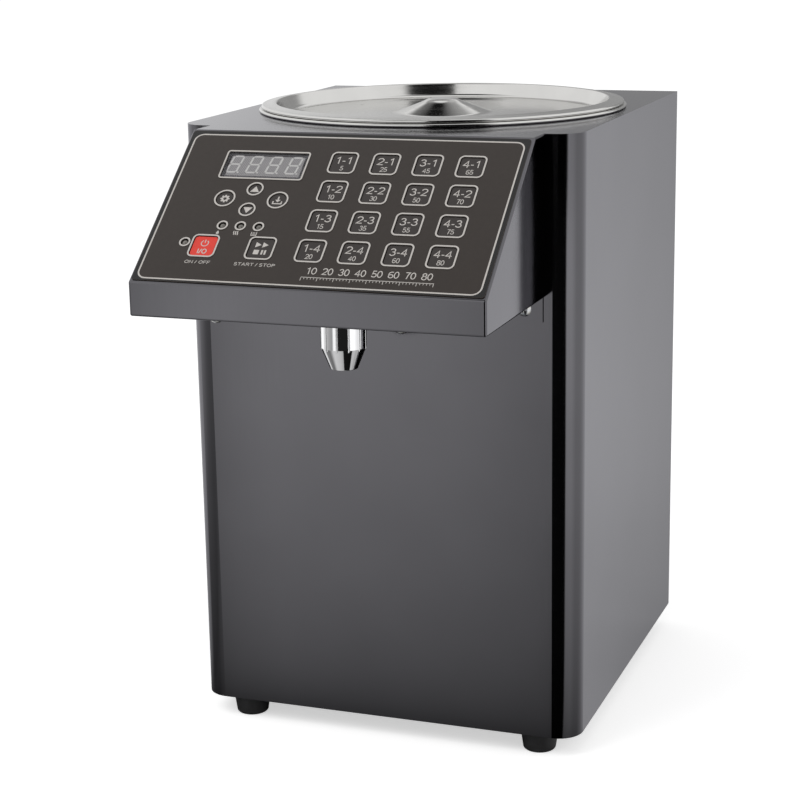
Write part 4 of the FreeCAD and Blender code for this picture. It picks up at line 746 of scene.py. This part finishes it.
class DISPENSER_OT_lid(bpy.types.Operator):
    """Spin the lid: rolled rim, sloping wall, dish, boss and vent hole"""

    bl_idname = "dispenser.lid"
    bl_label = "Lid"

    def execute(self, context):
        axis = lid_axis(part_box("lid")[1].z)
        boss = [(0, 0), (9.5, 0), (13.5, -2.0), (33.5, -9.6)]
        dish = [(80.5, -9.6), (82.5, -10.2), (111.8, -10.2)]
        rim = [(114.8, -0.45), (116.8, -0.35), (124.0, -1.55)]
        bend_radius, thick, inward = 2.6, 0.8, 0.2
        top = rounded(boss + dish + rim, bend_radius)
        bead = arc((124.0, -2.78), 1.25, 85, -90)
        under = [(max(0.0, p.x - inward), p.y - thick) for p in reversed(top)]
        data = finished_mesh(spun([*top, *bead, *under], axis), "lid_spun")
        reach, turn, drop = 83, math.radians(152), 10
        vent = axis + Vector((reach * math.cos(turn), reach * math.sin(turn), -drop)) * MM
        data = drilled(context, data, vent, radius=2.5, depth=3)
        piece = add_piece(context, "lid_spun", data, "lid", "polished_steel")
        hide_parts("lid")
        return {"FINISHED"}


class DISPENSER_OT_nozzle(bpy.types.Operator):
    """Chrome the nozzle cap and turn its brass stem and locknut"""

    bl_idname = "dispenser.nozzle"
    bl_label = "Nozzle"

    def execute(self, context):
        dress(context, "chrome_plate", "nozzle_cap")
        dress(context, "machined_brass", "nozzle_stem", "nozzle_locknut")
        return {"FINISHED"}


class DISPENSER_OT_pump(bpy.types.Operator):
    """Finish the gear pump, its bracket and its motor"""

    bl_idname = "dispenser.pump"
    bl_label = "Pump and Motor"

    def execute(self, context):
        dress(context, "cast_aluminium", "pump_housing", "pump_cover")
        dress(context, "machined_steel", "drive_gear", "idler_gear")
        dress(context, "zinc_plate", "pump_bracket")
        dress(context, "enamel_black", "pump_motor")
        return {"FINISHED"}


class DISPENSER_OT_fasteners_and_feet(bpy.types.Operator):
    """Plate the screws and rubber the feet"""

    bl_idname = "dispenser.fasteners_and_feet"
    bl_label = "Screws and Feet"

    def execute(self, context):
        dress(context, "zinc_plate", "case_screws")
        dress(context, "foot_rubber", "feet")
        return {"FINISHED"}


class DISPENSER_OT_hoses(bpy.types.Operator):
    """Finish the syrup hoses and their barbed fittings"""

    bl_idname = "dispenser.hoses"
    bl_label = "Hoses and Fittings"

    def execute(self, context):
        dress(context, "silicone_tube", "suction_hose", "delivery_hose")
        dress(context, "moulded_white", "hose_barbs", "level_sensor")
        return {"FINISHED"}


class DISPENSER_OT_electrics(bpy.types.Operator):
    """Finish the board, its switches, the supply, the inlet and the wiring"""

    bl_idname = "dispenser.electrics"
    bl_label = "Board, Supply and Wiring"

    def execute(self, context):
        dress(context, "solder_mask", "control_board")
        dress(context, "moulded_black", "tact_switches", "thermostat", "power_inlet",
              "fuse_drawer")
        dress(context, "machined_brass", "board_standoffs")
        dress(context, "cast_aluminium", "power_supply")
        dress(context, "cable_sheath", "wiring_harness")
        return {"FINISHED"}


# ---- operators: control panel

class DISPENSER_OT_panel_film(bpy.types.Operator):
    """Print the panel film, with the light line around it and the dark border outside the line"""

    bl_idname = "dispenser.panel_film"
    bl_label = "Panel Film"

    def execute(self, context):
        sizes = print_sizes(context)
        dress(context, "panel_film", "panel_overlay")
        low, high = panel_box("panel_overlay")
        half_x, half_y = (high.x - low.x) / 2, (high.y - low.y) / 2
        left, right = -half_x + sizes.line_side, half_x - sizes.line_side
        bottom, top = -half_y + sizes.line_bottom, half_y - sizes.line_top
        radius, width = sizes.line_radius, sizes.line_width
        outer = rectangle(left, right, bottom, top, radius)
        line = Ink()
        line.shape(outer, rectangle(left + width, right - width, bottom + width, top - width,
                                    radius - width))
        line.print_on_film(context, "panel_line")
        border = Ink()
        edge, corner = 0.3, 2
        border.shape(rectangle(-half_x + edge, half_x - edge, -half_y + edge, half_y - edge,
                               corner), outer)
        border.cast(context, "panel_border", panel_seat("panel_overlay"), HOUSING, "panel_border",
                    sizes.ink / 2)
        return {"FINISHED"}


class DISPENSER_OT_key_rings(bpy.types.Operator):
    """Finish the raised rings around keys, lamps and display"""

    bl_idname = "dispenser.key_rings"
    bl_label = "Key Rings"

    def execute(self, context):
        dress(context, "printed_ring", "key_bezels")
        return {"FINISHED"}


class DISPENSER_OT_dose_keys(bpy.types.Operator):
    """Finish the dose keys and print each with its column, its row and its amount"""

    bl_idname = "dispenser.dose_keys"
    bl_label = "Dose Keys"

    def execute(self, context):
        sizes = print_sizes(context)
        name_y, amount_y = 2.4, -4.1
        for column in range(1, DOSE_COLUMNS + 1):
            for row in range(1, DOSE_ROWS + 1):
                key = f"dose_key_{column}_{row}"
                dress(context, "dark_key", key)
                amount = DOSE_STEP * ((column - 1) * DOSE_ROWS + row)
                label = Ink()
                label.words(f"{column}-{row}", 0, name_y, sizes.dose_name, sizes.dose_name_width)
                label.words(str(amount), 0, amount_y, sizes.dose_amount)
                label.print_on_key(context, key)
        return {"FINISHED"}


def power_symbol(ink):
    """Open circle with a bar in its gap, above a bar and a ring for on and off."""
    ink.trace(arc((0, 2.3), 2.3, 125, 415, 3 * CURVE_STEPS), 0.6)
    ink.trace([(0, 2.5), (0, 5.0)], 0.6)
    ink.words("I/O", 0, -4.1, 3.6, 6.5, 0.18)


def run_stop_symbol(ink):
    """Two arrowheads for running on, over a square and two bars for stop and pause."""
    for x in (-4.0, 0.6):
        ink.shape([(x, 0.8), (x + 3.7, 2.9), (x, 5.0)])
    for left, right in ((-4.0, -0.5), (1.0, 2.2), (3.0, 4.2)):
        ink.shape(rectangle(left, right, -4.6, -1.1))


def up_symbol(ink):
    ink.shape([(-3.0, -2.1), (3.0, -2.1), (0, 2.6)])


def down_symbol(ink):
    ink.shape([(-3.0, 2.1), (0, -2.6), (3.0, 2.1)])


def setting_symbol(ink):
    """Cog wheel with eight teeth."""
    outline = []
    for start in range(0, 360, 45):
        outline += arc((0, 0), 3.1, start - 9, start + 9, 2)
        outline += arc((0, 0), 2.3, start + 15, start + 30, 2)
    ink.shape(outline, disc((0, 0), 1.1))


def storage_symbol(ink):
    """Arrow into a tray."""
    ink.trace([(-2.8, -0.6), (-2.8, -2.6), (2.8, -2.6), (2.8, -0.6)], 0.8)
    ink.trace([(0, 3.2), (0, 0.6)], 0.9)
    ink.shape([(-1.8, 0.6), (0, -1.4), (1.8, 0.6)])


KEY_SYMBOLS = {"key_power": power_symbol, "key_run_stop": run_stop_symbol, "key_up": up_symbol,
               "key_down": down_symbol, "key_setting": setting_symbol,
               "key_storage": storage_symbol}


class DISPENSER_OT_function_keys(bpy.types.Operator):
    """Finish the power, run, arrow and function keys and print their symbols"""

    bl_idname = "dispenser.function_keys"
    bl_label = "Function Keys"

    def execute(self, context):
        for key, draw in KEY_SYMBOLS.items():
            dress(context, "power_key" if key == "key_power" else "dark_key", key)
            symbol = Ink()
            draw(symbol)
            symbol.print_on_key(context, key)
        return {"FINISHED"}


def drop_symbol(ink, x, y, height):
    """Falling drop: a circle drawn out to a point."""
    radius = 0.32 * height
    centre = (x, y - 0.5 * height + radius)
    ink.shape(arc(centre, radius, 150, 390, 2 * CURVE_STEPS) + [(x, y + 0.5 * height)])


def heat_symbol(ink, x, y, height):
    """Three rising waves."""
    steps = 10
    for place in (-0.42, 0.0, 0.42):
        wave = [(x + place * height + 0.09 * height * math.sin(2 * math.pi * i / steps),
                 y + height * (i / steps - 0.5)) for i in range(steps + 1)]
        ink.trace(wave, 0.2 * height)


def level_symbol(ink, x, y, height):
    """Vessel with two levels marked in it."""
    half_x, half_y, line = 0.55 * height, 0.45 * height, 0.16 * height
    ink.trace([(x - half_x, y + half_y), (x - half_x, y - half_y), (x + half_x, y - half_y),
               (x + half_x, y + half_y)], line)
    for up in (-0.12, 0.22):
        ink.trace([(x - 0.3 * height, y + up * height), (x + 0.3 * height, y + up * height)], line)


def lamp_seats():
    """Middle of each lamp's dome, from left to right, found among the lamps' loose solids."""
    cap, lamp_width = 0.15, 6
    points = panel_points("panel_leds")
    crest = max(p.z for p in points) - cap
    groups = []
    for point in sorted((p for p in points if p.z > crest), key=lambda p: p.x):
        near = [group for group in groups if (group[0].xy - point.xy).length < lamp_width]
        if near:
            near[0].append(point)
        else:
            groups.append([point])
    return [sum(group, Vector()) / len(group) for group in groups]


class DISPENSER_OT_lamps(bpy.types.Operator):
    """Finish the indicator lamps and print a symbol under each of the three in a row"""

    bl_idname = "dispenser.lamps"
    bl_label = "Indicator Lamps"

    def execute(self, context):
        dress(context, "lamp_lens", "panel_leds")
        seats = lamp_seats()
        expect(len(seats) == 4, f"four lamps were expected, not {len(seats)}")
        film = panel_seat("panel_overlay")
        aside, below = 1.4, 5.6
        symbols = Ink()
        for seat, draw in zip(seats[1:], (drop_symbol, heat_symbol, level_symbol)):
            draw(symbols, seat.x - film.x - aside, seat.y - film.y - below,
                 print_sizes(context).symbol)
        symbols.print_on_film(context, "lamp_symbols")
        return {"FINISHED"}


DIGITS = 4
DIGIT_PITCH = 13.2
DIGIT_RISE = 1.3                # the digits stand above the window's middle
SEGMENT_ENDS = (((0, 2), (1, 2)), ((1, 2), (1, 1)), ((1, 1), (1, 0)), ((0, 0), (1, 0)),
                ((0, 1), (0, 0)), ((0, 2), (0, 1)), ((0, 1), (1, 1)))


def segment(start, end, width, gap):
    """Bar with pointed ends between two corners of a digit."""
    a, b = Vector(start), Vector(end)
    along = (b - a).normalized()
    side = Vector((-along.y, along.x)) * (width / 2)
    tip = along * (width / 2)
    a += along * gap
    b -= along * gap
    return (a, a + tip - side, b - tip - side, b, b - tip + side, a + tip + side)


class DISPENSER_OT_display(bpy.types.Operator):
    """Finish the window and the display block, and set four unlit digits in it"""

    bl_idname = "dispenser.display"
    bl_label = "Display"

    def execute(self, context):
        dress(context, "smoked_window", "display_window")
        dress(context, "moulded_black", "display_module")
        plate_thick, below_window = 0.5, 0.9
        low, high = panel_box("display_module")
        seat = (low + high) / 2
        seat.z = panel_box("display_window")[0].z - below_window
        half_x, half_y = (high.x - low.x) / 2, (high.y - low.y) / 2
        plate = Ink()
        plate.shape(rectangle(-half_x, half_x, -half_y, half_y, 0.5))
        plate.cast(context, "display_filter", seat, HOUSING, "display_face",
                   plate_thick)
        seat.z += plate_thick
        width, height, thick, gap = 6.7, 13.4, 1.25, 0.22
        margin, dot_gap, dot_radius = 2.2, 1.5, 0.65
        lean = math.tan(math.radians(8))
        digits = Ink()
        for place in range(DIGITS):
            left = (place - DIGITS / 2) * DIGIT_PITCH + margin
            for ends in SEGMENT_ENDS:
                corners = [(left + x * width, (y - 1) * height / 2 + DIGIT_RISE) for x, y in ends]
                digits.shape([(x + y * lean, y) for x, y in segment(*corners, thick, gap)])
            dot_x = left + width + dot_gap - height / 2 * lean
            digits.shape(disc((dot_x, DIGIT_RISE - height / 2), dot_radius))
        digits.cast(context, "display_digits", seat, HOUSING, "digit_segment",
                    0.1)
        return {"FINISHED"}


class DISPENSER_OT_captions(bpy.types.Operator):
    """Print the captions under the two switches"""

    bl_idname = "dispenser.captions"
    bl_label = "Switch Captions"

    def execute(self, context):
        film, height = panel_seat("panel_overlay"), print_sizes(context).caption
        below, weight = 12.9, 0.15
        captions = Ink()
        for key, text, width in (("key_power", "ON / OFF", 17),
                                 ("key_run_stop", "START / STOP", 27)):
            place = panel_seat(key) - film
            captions.words(text, place.x, place.y - below, height, width, weight)
        captions.print_on_film(context, "switch_captions")
        return {"FINISHED"}


class DISPENSER_OT_dose_scale(bpy.types.Operator):
    """Print a scale of amounts under the dose keys"""

    bl_idname = "dispenser.dose_scale"
    bl_label = "Dose Scale"

    def execute(self, context):
        sizes = print_sizes(context)
        film = panel_seat("panel_overlay")
        first = panel_seat(f"dose_key_1_{DOSE_ROWS}") - film
        last = panel_seat(f"dose_key_{DOSE_COLUMNS}_{DOSE_ROWS}") - film
        numbers, number_width = 8, 7.0
        long_tick, short_tick, tick_width, line_width = 2.6, 1.5, 0.35, 0.4
        reach = last.x - first.x
        digit_y = first.y - 15.2
        tick_y = digit_y - 5.0
        scale = Ink()
        for number in range(1, numbers + 1):
            x = first.x + (number - 0.5) * reach / numbers
            scale.words(str(10 * number), x, digit_y, sizes.scale_digit, number_width)
        for tick in range(numbers * sizes.scale_ticks + 1):
            tall = short_tick if tick % sizes.scale_ticks else long_tick
            x = first.x + reach * tick / (numbers * sizes.scale_ticks)
            scale.trace([(x, tick_y), (x, tick_y - tall)], tick_width)
        scale.trace([(first.x - tick_width / 2, tick_y), (last.x + tick_width / 2, tick_y)],
                    line_width)
        scale.print_on_film(context, "dose_scale")
        return {"FINISHED"}


# ---- operators: rear

def louvre_slots():
    """Points around each slot in the rear panel's outer face, and that face's place."""
    face_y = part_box("rear_panel")[1].y
    lowest, highest, reach, slot_tall = 100 * MM, 300 * MM, 100 * MM, 3.5 * MM
    rims = [v.co for v in frame["nodes"]["rear_panel"].data.vertices
            if abs(v.co.y - face_y) < 0.01 * MM and lowest < v.co.z < highest
            and abs(v.co.x) < reach]
    slots = []
    for point in sorted(rims, key=lambda p: (p.x > 0, p.z)):
        last = slots[-1][-1] if slots else None
        if last and abs(last.z - point.z) < slot_tall and (last.x > 0) == (point.x > 0):
            slots[-1].append(point)
        else:
            slots.append([point])
    return slots, face_y


class DISPENSER_OT_louvre_hoods(bpy.types.Operator):
    """Press a hood over each cooling slot of the rear panel"""

    bl_idname = "dispenser.louvre_hoods"
    bl_label = "Louvre Hoods"

    def execute(self, context):
        slots, face_y = louvre_slots()
        expect(slots, "the rear panel has no slots")
        shell = bmesh.new()
        for slot in slots:
            self.add_hood(shell, slot, face_y)
        bmesh.ops.recalc_face_normals(shell, faces=shell.faces)
        for face in shell.faces:
            face.smooth = True
        data = bpy.data.meshes.new("louvre_hoods")
        shell.to_mesh(data)
        shell.free()
        piece = add_piece(context, "louvre_hoods", data, HOUSING, "coated_sheet")
        wall = piece.modifiers.new("sheet", "SOLIDIFY")
        wall.thickness = 0.5 * MM
        wall.offset = -1
        return {"FINISHED"}

    def add_hood(self, shell, slot, face_y):
        """One hood: a quarter of an ellipse from the panel out to the open lower edge, which
        shrinks to nothing in rounded ends."""
        left, right = min(p.x for p in slot) - 2 * MM, max(p.x for p in slot) + 2 * MM
        bottom, top = min(p.z for p in slot), max(p.z for p in slot) + 1.2 * MM
        depth, tall, end = 2.6 * MM, top - bottom, 5 * MM
        across, bend = ([math.pi / 2 * i / steps for i in range(steps + 1)] for steps in (8, 5))
        stations = [left + end * (1 - math.cos(t)) for t in across[:-1]]
        stations += [left + right - x for x in reversed(stations)]
        rows = []
        for x in stations:
            inset = min(1.0, min(x - left, right - x) / end)
            size = math.sqrt(max(0.0, 1 - (1 - inset) ** 2))
            rows.append([shell.verts.new((x, face_y + size * depth * math.sin(t),
                                          top - size * tall * (1 - math.cos(t)))) for t in bend])
        join_rows(shell, rows, closed=False, round_rows=False)


# ---- the stage

def seen_directly(tree):
    """1 for rays that show a background: from the camera, in a reflection or through glass."""
    rays = new_node(tree, "LightPath")
    return calculate(tree, "MAXIMUM", rays["Is Camera Ray"], rays["Is Glossy Ray"],
                     rays["Is Transmission Ray"])


def stage_mesh(context, name, points, faces, material):
    data = bpy.data.meshes.new(name)
    data.from_pydata(points, [], faces)
    data.materials.append(material)
    prop = put_in_scene(context, name, data)
    return prop


def level_square(context, name, reach, height, material):
    corners = [(x * reach, y * reach, height) for x, y in ((-1, -1), (1, -1), (1, 1), (-1, 1))]
    return stage_mesh(context, name, corners, [(0, 1, 2, 3)], material)


def lay_floor(context, stage):
    """Pale floor that reads white where nothing shades it and keeps the machine's shadow."""
    material, tree, shader = finish("studio_floor", {
        "Roughness": 0.9, "Specular IOR Level": 0.0,
        "Base Color": (stage.floor, stage.floor, stage.floor, 1),
        "Emission Color": (1, 1, 1, 1)})
    tree.links.new(calculate(tree, "MULTIPLY", seen_directly(tree), stage.floor_glow),
                   shader.inputs["Emission Strength"])
    level_square(context, "studio_floor", 30.0, 0, material)


def flag_material(name, level_maker):
    """Black cloth that only reflections see; a value from 0 to 1 says how much it hides."""
    material = bpy.data.materials.new(name)
    material.use_nodes = True
    tree = material.node_tree
    tree.nodes.clear()
    clear = new_node(tree, "BsdfTransparent")["BSDF"]
    black = new_node(tree, "Emission", {"Color": (0, 0, 0, 1)})["Emission"]
    mix = new_node(tree, "MixShader", {"Fac": level_maker(tree), 1: clear, 2: black})
    new_node(tree, "OutputMaterial", {"Surface": mix["Shader"]})
    return material


def only_reflections(prop):
    for rays in ("camera", "diffuse", "transmission", "volume_scatter", "shadow"):
        setattr(prop, f"visible_{rays}", False)


def bearing(tree, x, y):
    """Degrees about an upright line, from straight ahead round to the right; and the distances
    from it to the right and ahead."""
    offset = reckon(tree, "SUBTRACT", surface_point(tree), (x, y, 0))
    parts = new_node(tree, "SeparateXYZ", {0: offset})
    ahead = calculate(tree, "MULTIPLY", parts["Y"], -1.0)
    turn = calculate(tree, "ARCTAN2", parts["X"], ahead)
    return calculate(tree, "MULTIPLY", turn, 180 / math.pi), parts["X"], ahead


def profile(tree, value, *stops):
    """Straight pieces between stops, each a value and its level."""
    first, last = stops[0][0], stops[-1][0]
    ramp = tree.nodes.new("ShaderNodeValToRGB")
    elements = ramp.color_ramp.elements
    elements[0].position, elements[1].position = 0.0, 1.0
    for place, _ in stops[1:-1]:
        elements.new((place - first) / (last - first))
    for element, (_, level) in zip(elements, stops):
        element.color = (level, level, level, 1)
    tree.links.new(remap(tree, value, first, last, 0, 1), ramp.inputs["Fac"])
    return ramp.outputs["Color"]


def rest(tree, value):
    """What is left of 1."""
    return calculate(tree, "SUBTRACT", 1.0, value)


def fading(tree, distance, share_left, reach):
    """A share that fades with distance."""
    power = calculate(tree, "MULTIPLY", calculate(tree, "MAXIMUM", distance, 0.0), -1 / reach)
    return calculate(tree, "MULTIPLY", calculate(tree, "EXPONENT", power), share_left)


def ground_darkness(tree):
    """How dark the cloth on the floor is; it paints reflections in the glossy sheet and the lid: a black
    wedge in front on the right, darker ends in front, a soft fall-off all round the machine that is
    painted shade of the floor seen in reflections, and a slight tail behind it on the right."""
    low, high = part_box("casing_wrap")
    corner_radius = 17 * MM
    corner_x = high.x - corner_radius
    turn, right, ahead = bearing(tree, corner_x, low.y)
    wedge = profile(tree, turn, (-180, 1), (-14.6, 1), (-13.6, 0.01), (42, 0.01), (46, 1),
                    (70, 0.95), (92, 0.72), (120, 0.76), (150, 1), (180, 1))
    left = calculate(tree, "SUBTRACT", low.x - corner_x, right)
    back = calculate(tree, "SUBTRACT", low.y - high.y, ahead)
    near = calculate(tree, "MAXIMUM", ahead, right, left, back)
    # painted shade in the reflected floor, darkest next to the machine
    fade = calculate(tree, "ADD", fading(tree, near, 0.64, 0.47), fading(tree, near, 0.36, 0.05))
    fade = calculate(tree, "MULTIPLY", fade, profile(tree, turn, (110, 1), (150, 0.22)))
    # in plan, where the front wall and the right wall mirror the camera
    eye_in_front, eye_in_side = (0.45, 1.10), (-0.18, -1.26)
    front, _, _ = bearing(tree, *eye_in_front)
    ends = profile(tree, front, (-60, 0.8), (-40, 0.35), (-29, 0.25), (-26.4, 0.50), (-25.3, 0.74),
                   (-23.8, 0.86), (-21.2, 0.80), (-18.7, 0.73), (-17.2, 0.66), (-15.7, 0.56),
                   (-15.2, 1.0))
    in_front = profile(tree, ahead, (-0.05, 0), (0.0, 1))
    rear, _, beyond = bearing(tree, *eye_in_side)
    tail = calculate(tree, "MULTIPLY", profile(tree, rear, (165.2, 0), (168.2, 0.36), (180, 0.36)),
                     profile(tree, beyond, (-1.35, 1), (-1.25, 0)))
    end_shade = calculate(tree, "MULTIPLY", rest(tree, ends), in_front)
    light = calculate(tree, "MULTIPLY", wedge, rest(tree, fade), rest(tree, end_shade),
                      rest(tree, tail))
    return rest(tree, light)


def soft_edges(tree, across, upward, strength):
    """Cloth that thins towards its edges; each way gives where it starts, fills, thins and ends."""
    parts = new_node(tree, "SeparateXYZ", {0: new_node(tree, "TexCoord")["UV"]})
    bells = [profile(tree, parts[axis], (start, 0), (full, 1), (thin, 1), (stop, 0))
             for axis, (start, full, thin, stop) in (("X", across), ("Y", upward))]
    return calculate(tree, "MULTIPLY", *bells, strength)


def cloth(context, name, rows, across, upward, strength=0.99):
    """Cloth hung between two rows of points, which only reflections see."""
    wide = len(rows[0])
    faces = [(i, i + 1, wide + i + 1, wide + i) for i in range(wide - 1)]
    material = flag_material(name, lambda tree: soft_edges(tree, across, upward, strength))
    prop = stage_mesh(context, name, rows[0] + rows[1], faces, material)
    layer = prop.data.uv_layers.new()
    for loop in prop.data.loops:
        row, column = divmod(loop.vertex_index, wide)
        layer.data[loop.index].uv = (column / (wide - 1), row)
    only_reflections(prop)


def hang_flags(context):
    """Dark cloths that give the glossy sheet and the polished lid their reflections."""
    ground = level_square(context, "ground_flag", 12.0, 0.2 * MM,
                          flag_material("ground_flag", ground_darkness))
    only_reflections(ground)
    turns = [math.radians(8 + 4 * i) for i in range(12)]
    front = [[(2.6 * math.sin(t), -2.6 * math.cos(t), z) for t in turns] for z in (0.0, 3.3)]
    cloth(context, "front_flag", front, (0.0, 0.03, 0.86, 1.0), (-0.1, 0.0, 0.88, 1.0))
    cloth(context, "upper_flag", [[(-1.3, y, 2.4), (1.5, y, 2.4)] for y in (-2.1, -0.1)],
          (0.0, 0.3, 0.8, 1.0), (0.0, 0.2, 0.8, 1.0), 0.9)
    cloth(context, "rear_flag", [[(-1.0, 1.5, z), (1.0, 1.5, z)] for z in (0.3, 1.2)],
          (0.0, 0.35, 0.85, 1.0), (0.0, 0.1, 0.9, 1.0), 0.62)
    cloth(context, "high_flag", [[(-1.5, 1.5, z), (0.25, 1.5, z)] for z in (1.3, 2.6)],
          (0.0, 0.43, 0.57, 1.0), (0.0, 0.2, 0.75, 1.0))


def light_world(context, stage):
    """White where it is seen, and a plain level on matt surfaces."""
    world = bpy.data.worlds.new("studio_world")
    context.scene.world = world
    world.use_nodes = True
    tree = world.node_tree
    sky = tree.nodes["Background"]
    sky.inputs["Color"].default_value = (1, 1, 1, 1)
    tree.links.new(remap(tree, seen_directly(tree), 0, 1, stage.sky, 1.0), sky.inputs["Strength"])


def hang_lamp(context, name, power, size, position):
    """Large soft lamp, turned to the machine's middle, that shows in no reflection."""
    data = bpy.data.lights.new(name, "AREA")
    data.energy = power
    data.shape = "SQUARE"
    data.size = size
    lamp = put_in_scene(context, name, data)
    lamp.location = position
    low, high = CAD_BOUNDS
    aim = (low + high) / 2 - Vector(position)
    lamp.rotation_euler = aim.to_track_quat("-Z", "Y").to_euler()
    lamp.visible_glossy = False
    lamp.visible_camera = False


def set_camera(context, stage):
    """Camera at the machine's right front, a little above it."""
    data = bpy.data.cameras.new("studio_camera")
    data.lens = stage.lens
    data.sensor_width = 36.0
    data.clip_end = 100.0
    camera = put_in_scene(context, "studio_camera", data)
    across, up = math.cos(stage.elevation), math.sin(stage.elevation)
    back = Vector((math.sin(stage.azimuth) * across, -math.cos(stage.azimuth) * across, up))
    turn = (-back).to_track_quat("-Z", "Y").to_matrix().to_4x4()
    camera.matrix_world = (Matrix.Translation(stage.position) @ turn
                           @ Matrix.Rotation(stage.roll, 4, "Z"))
    context.scene.camera = camera


class DISPENSER_OT_stage(bpy.types.Operator):
    """Set the floor, the light and the camera"""

    bl_idname = "dispenser.stage"
    bl_label = "Stage"

    def execute(self, context):
        stage = context.scene.dispenser_stage
        context.scene.view_settings.view_transform = "Standard"
        lay_floor(context, stage)
        hang_flags(context)
        light_world(context, stage)
        hang_lamp(context, "key_lamp", stage.key_light, 1.6, (-1.2, -1.6, 2.2))
        hang_lamp(context, "fill_lamp", stage.fill_light, 1.4, (1.9, -0.9, 1.3))
        set_camera(context, stage)
        return {"FINISHED"}


# ---- panel and registration

OPERATORS = (
    DISPENSER_OT_sheet_metal, DISPENSER_OT_tank, DISPENSER_OT_lid, DISPENSER_OT_nozzle,
    DISPENSER_OT_pump, DISPENSER_OT_fasteners_and_feet, DISPENSER_OT_hoses,
    DISPENSER_OT_electrics, DISPENSER_OT_panel_film, DISPENSER_OT_key_rings,
    DISPENSER_OT_dose_keys, DISPENSER_OT_function_keys, DISPENSER_OT_lamps, DISPENSER_OT_display,
    DISPENSER_OT_captions, DISPENSER_OT_dose_scale, DISPENSER_OT_louvre_hoods,
    DISPENSER_OT_stage,
)
SETTINGS = {"dispenser_printing": DispenserPrinting, "dispenser_finish": DispenserFinish,
            "dispenser_stage": DispenserStage}


class DISPENSER_PT_sidebar(bpy.types.Panel):
    """Lists the steps that dress the dispenser"""

    bl_label = "Syrup Dispenser"
    bl_idname = "DISPENSER_PT_sidebar"
    bl_space_type = "VIEW_3D"
    bl_region_type = "UI"
    bl_category = "Dispenser"

    def draw(self, context):
        for operator in OPERATORS:
            self.layout.operator(operator.bl_idname)
        for name, group in SETTINGS.items():
            box = self.layout.box()
            for setting in group.__annotations__:
                box.prop(getattr(context.scene, name), setting)


def register():
    for name, group in SETTINGS.items():
        bpy.utils.register_class(group)
        setattr(bpy.types.Scene, name, PointerProperty(type=group))
    for item in (*OPERATORS, DISPENSER_PT_sidebar):
        bpy.utils.register_class(item)


def unregister():
    for item in reversed((*OPERATORS, DISPENSER_PT_sidebar)):
        bpy.utils.unregister_class(item)
    for name, group in SETTINGS.items():
        delattr(bpy.types.Scene, name)
        bpy.utils.unregister_class(group)


def main():
    register()
    for operator in OPERATORS:
        step = operator.bl_idname.removeprefix("dispenser.")
        getattr(bpy.ops.dispenser, step)()


if __name__ == "__main__":
    main()
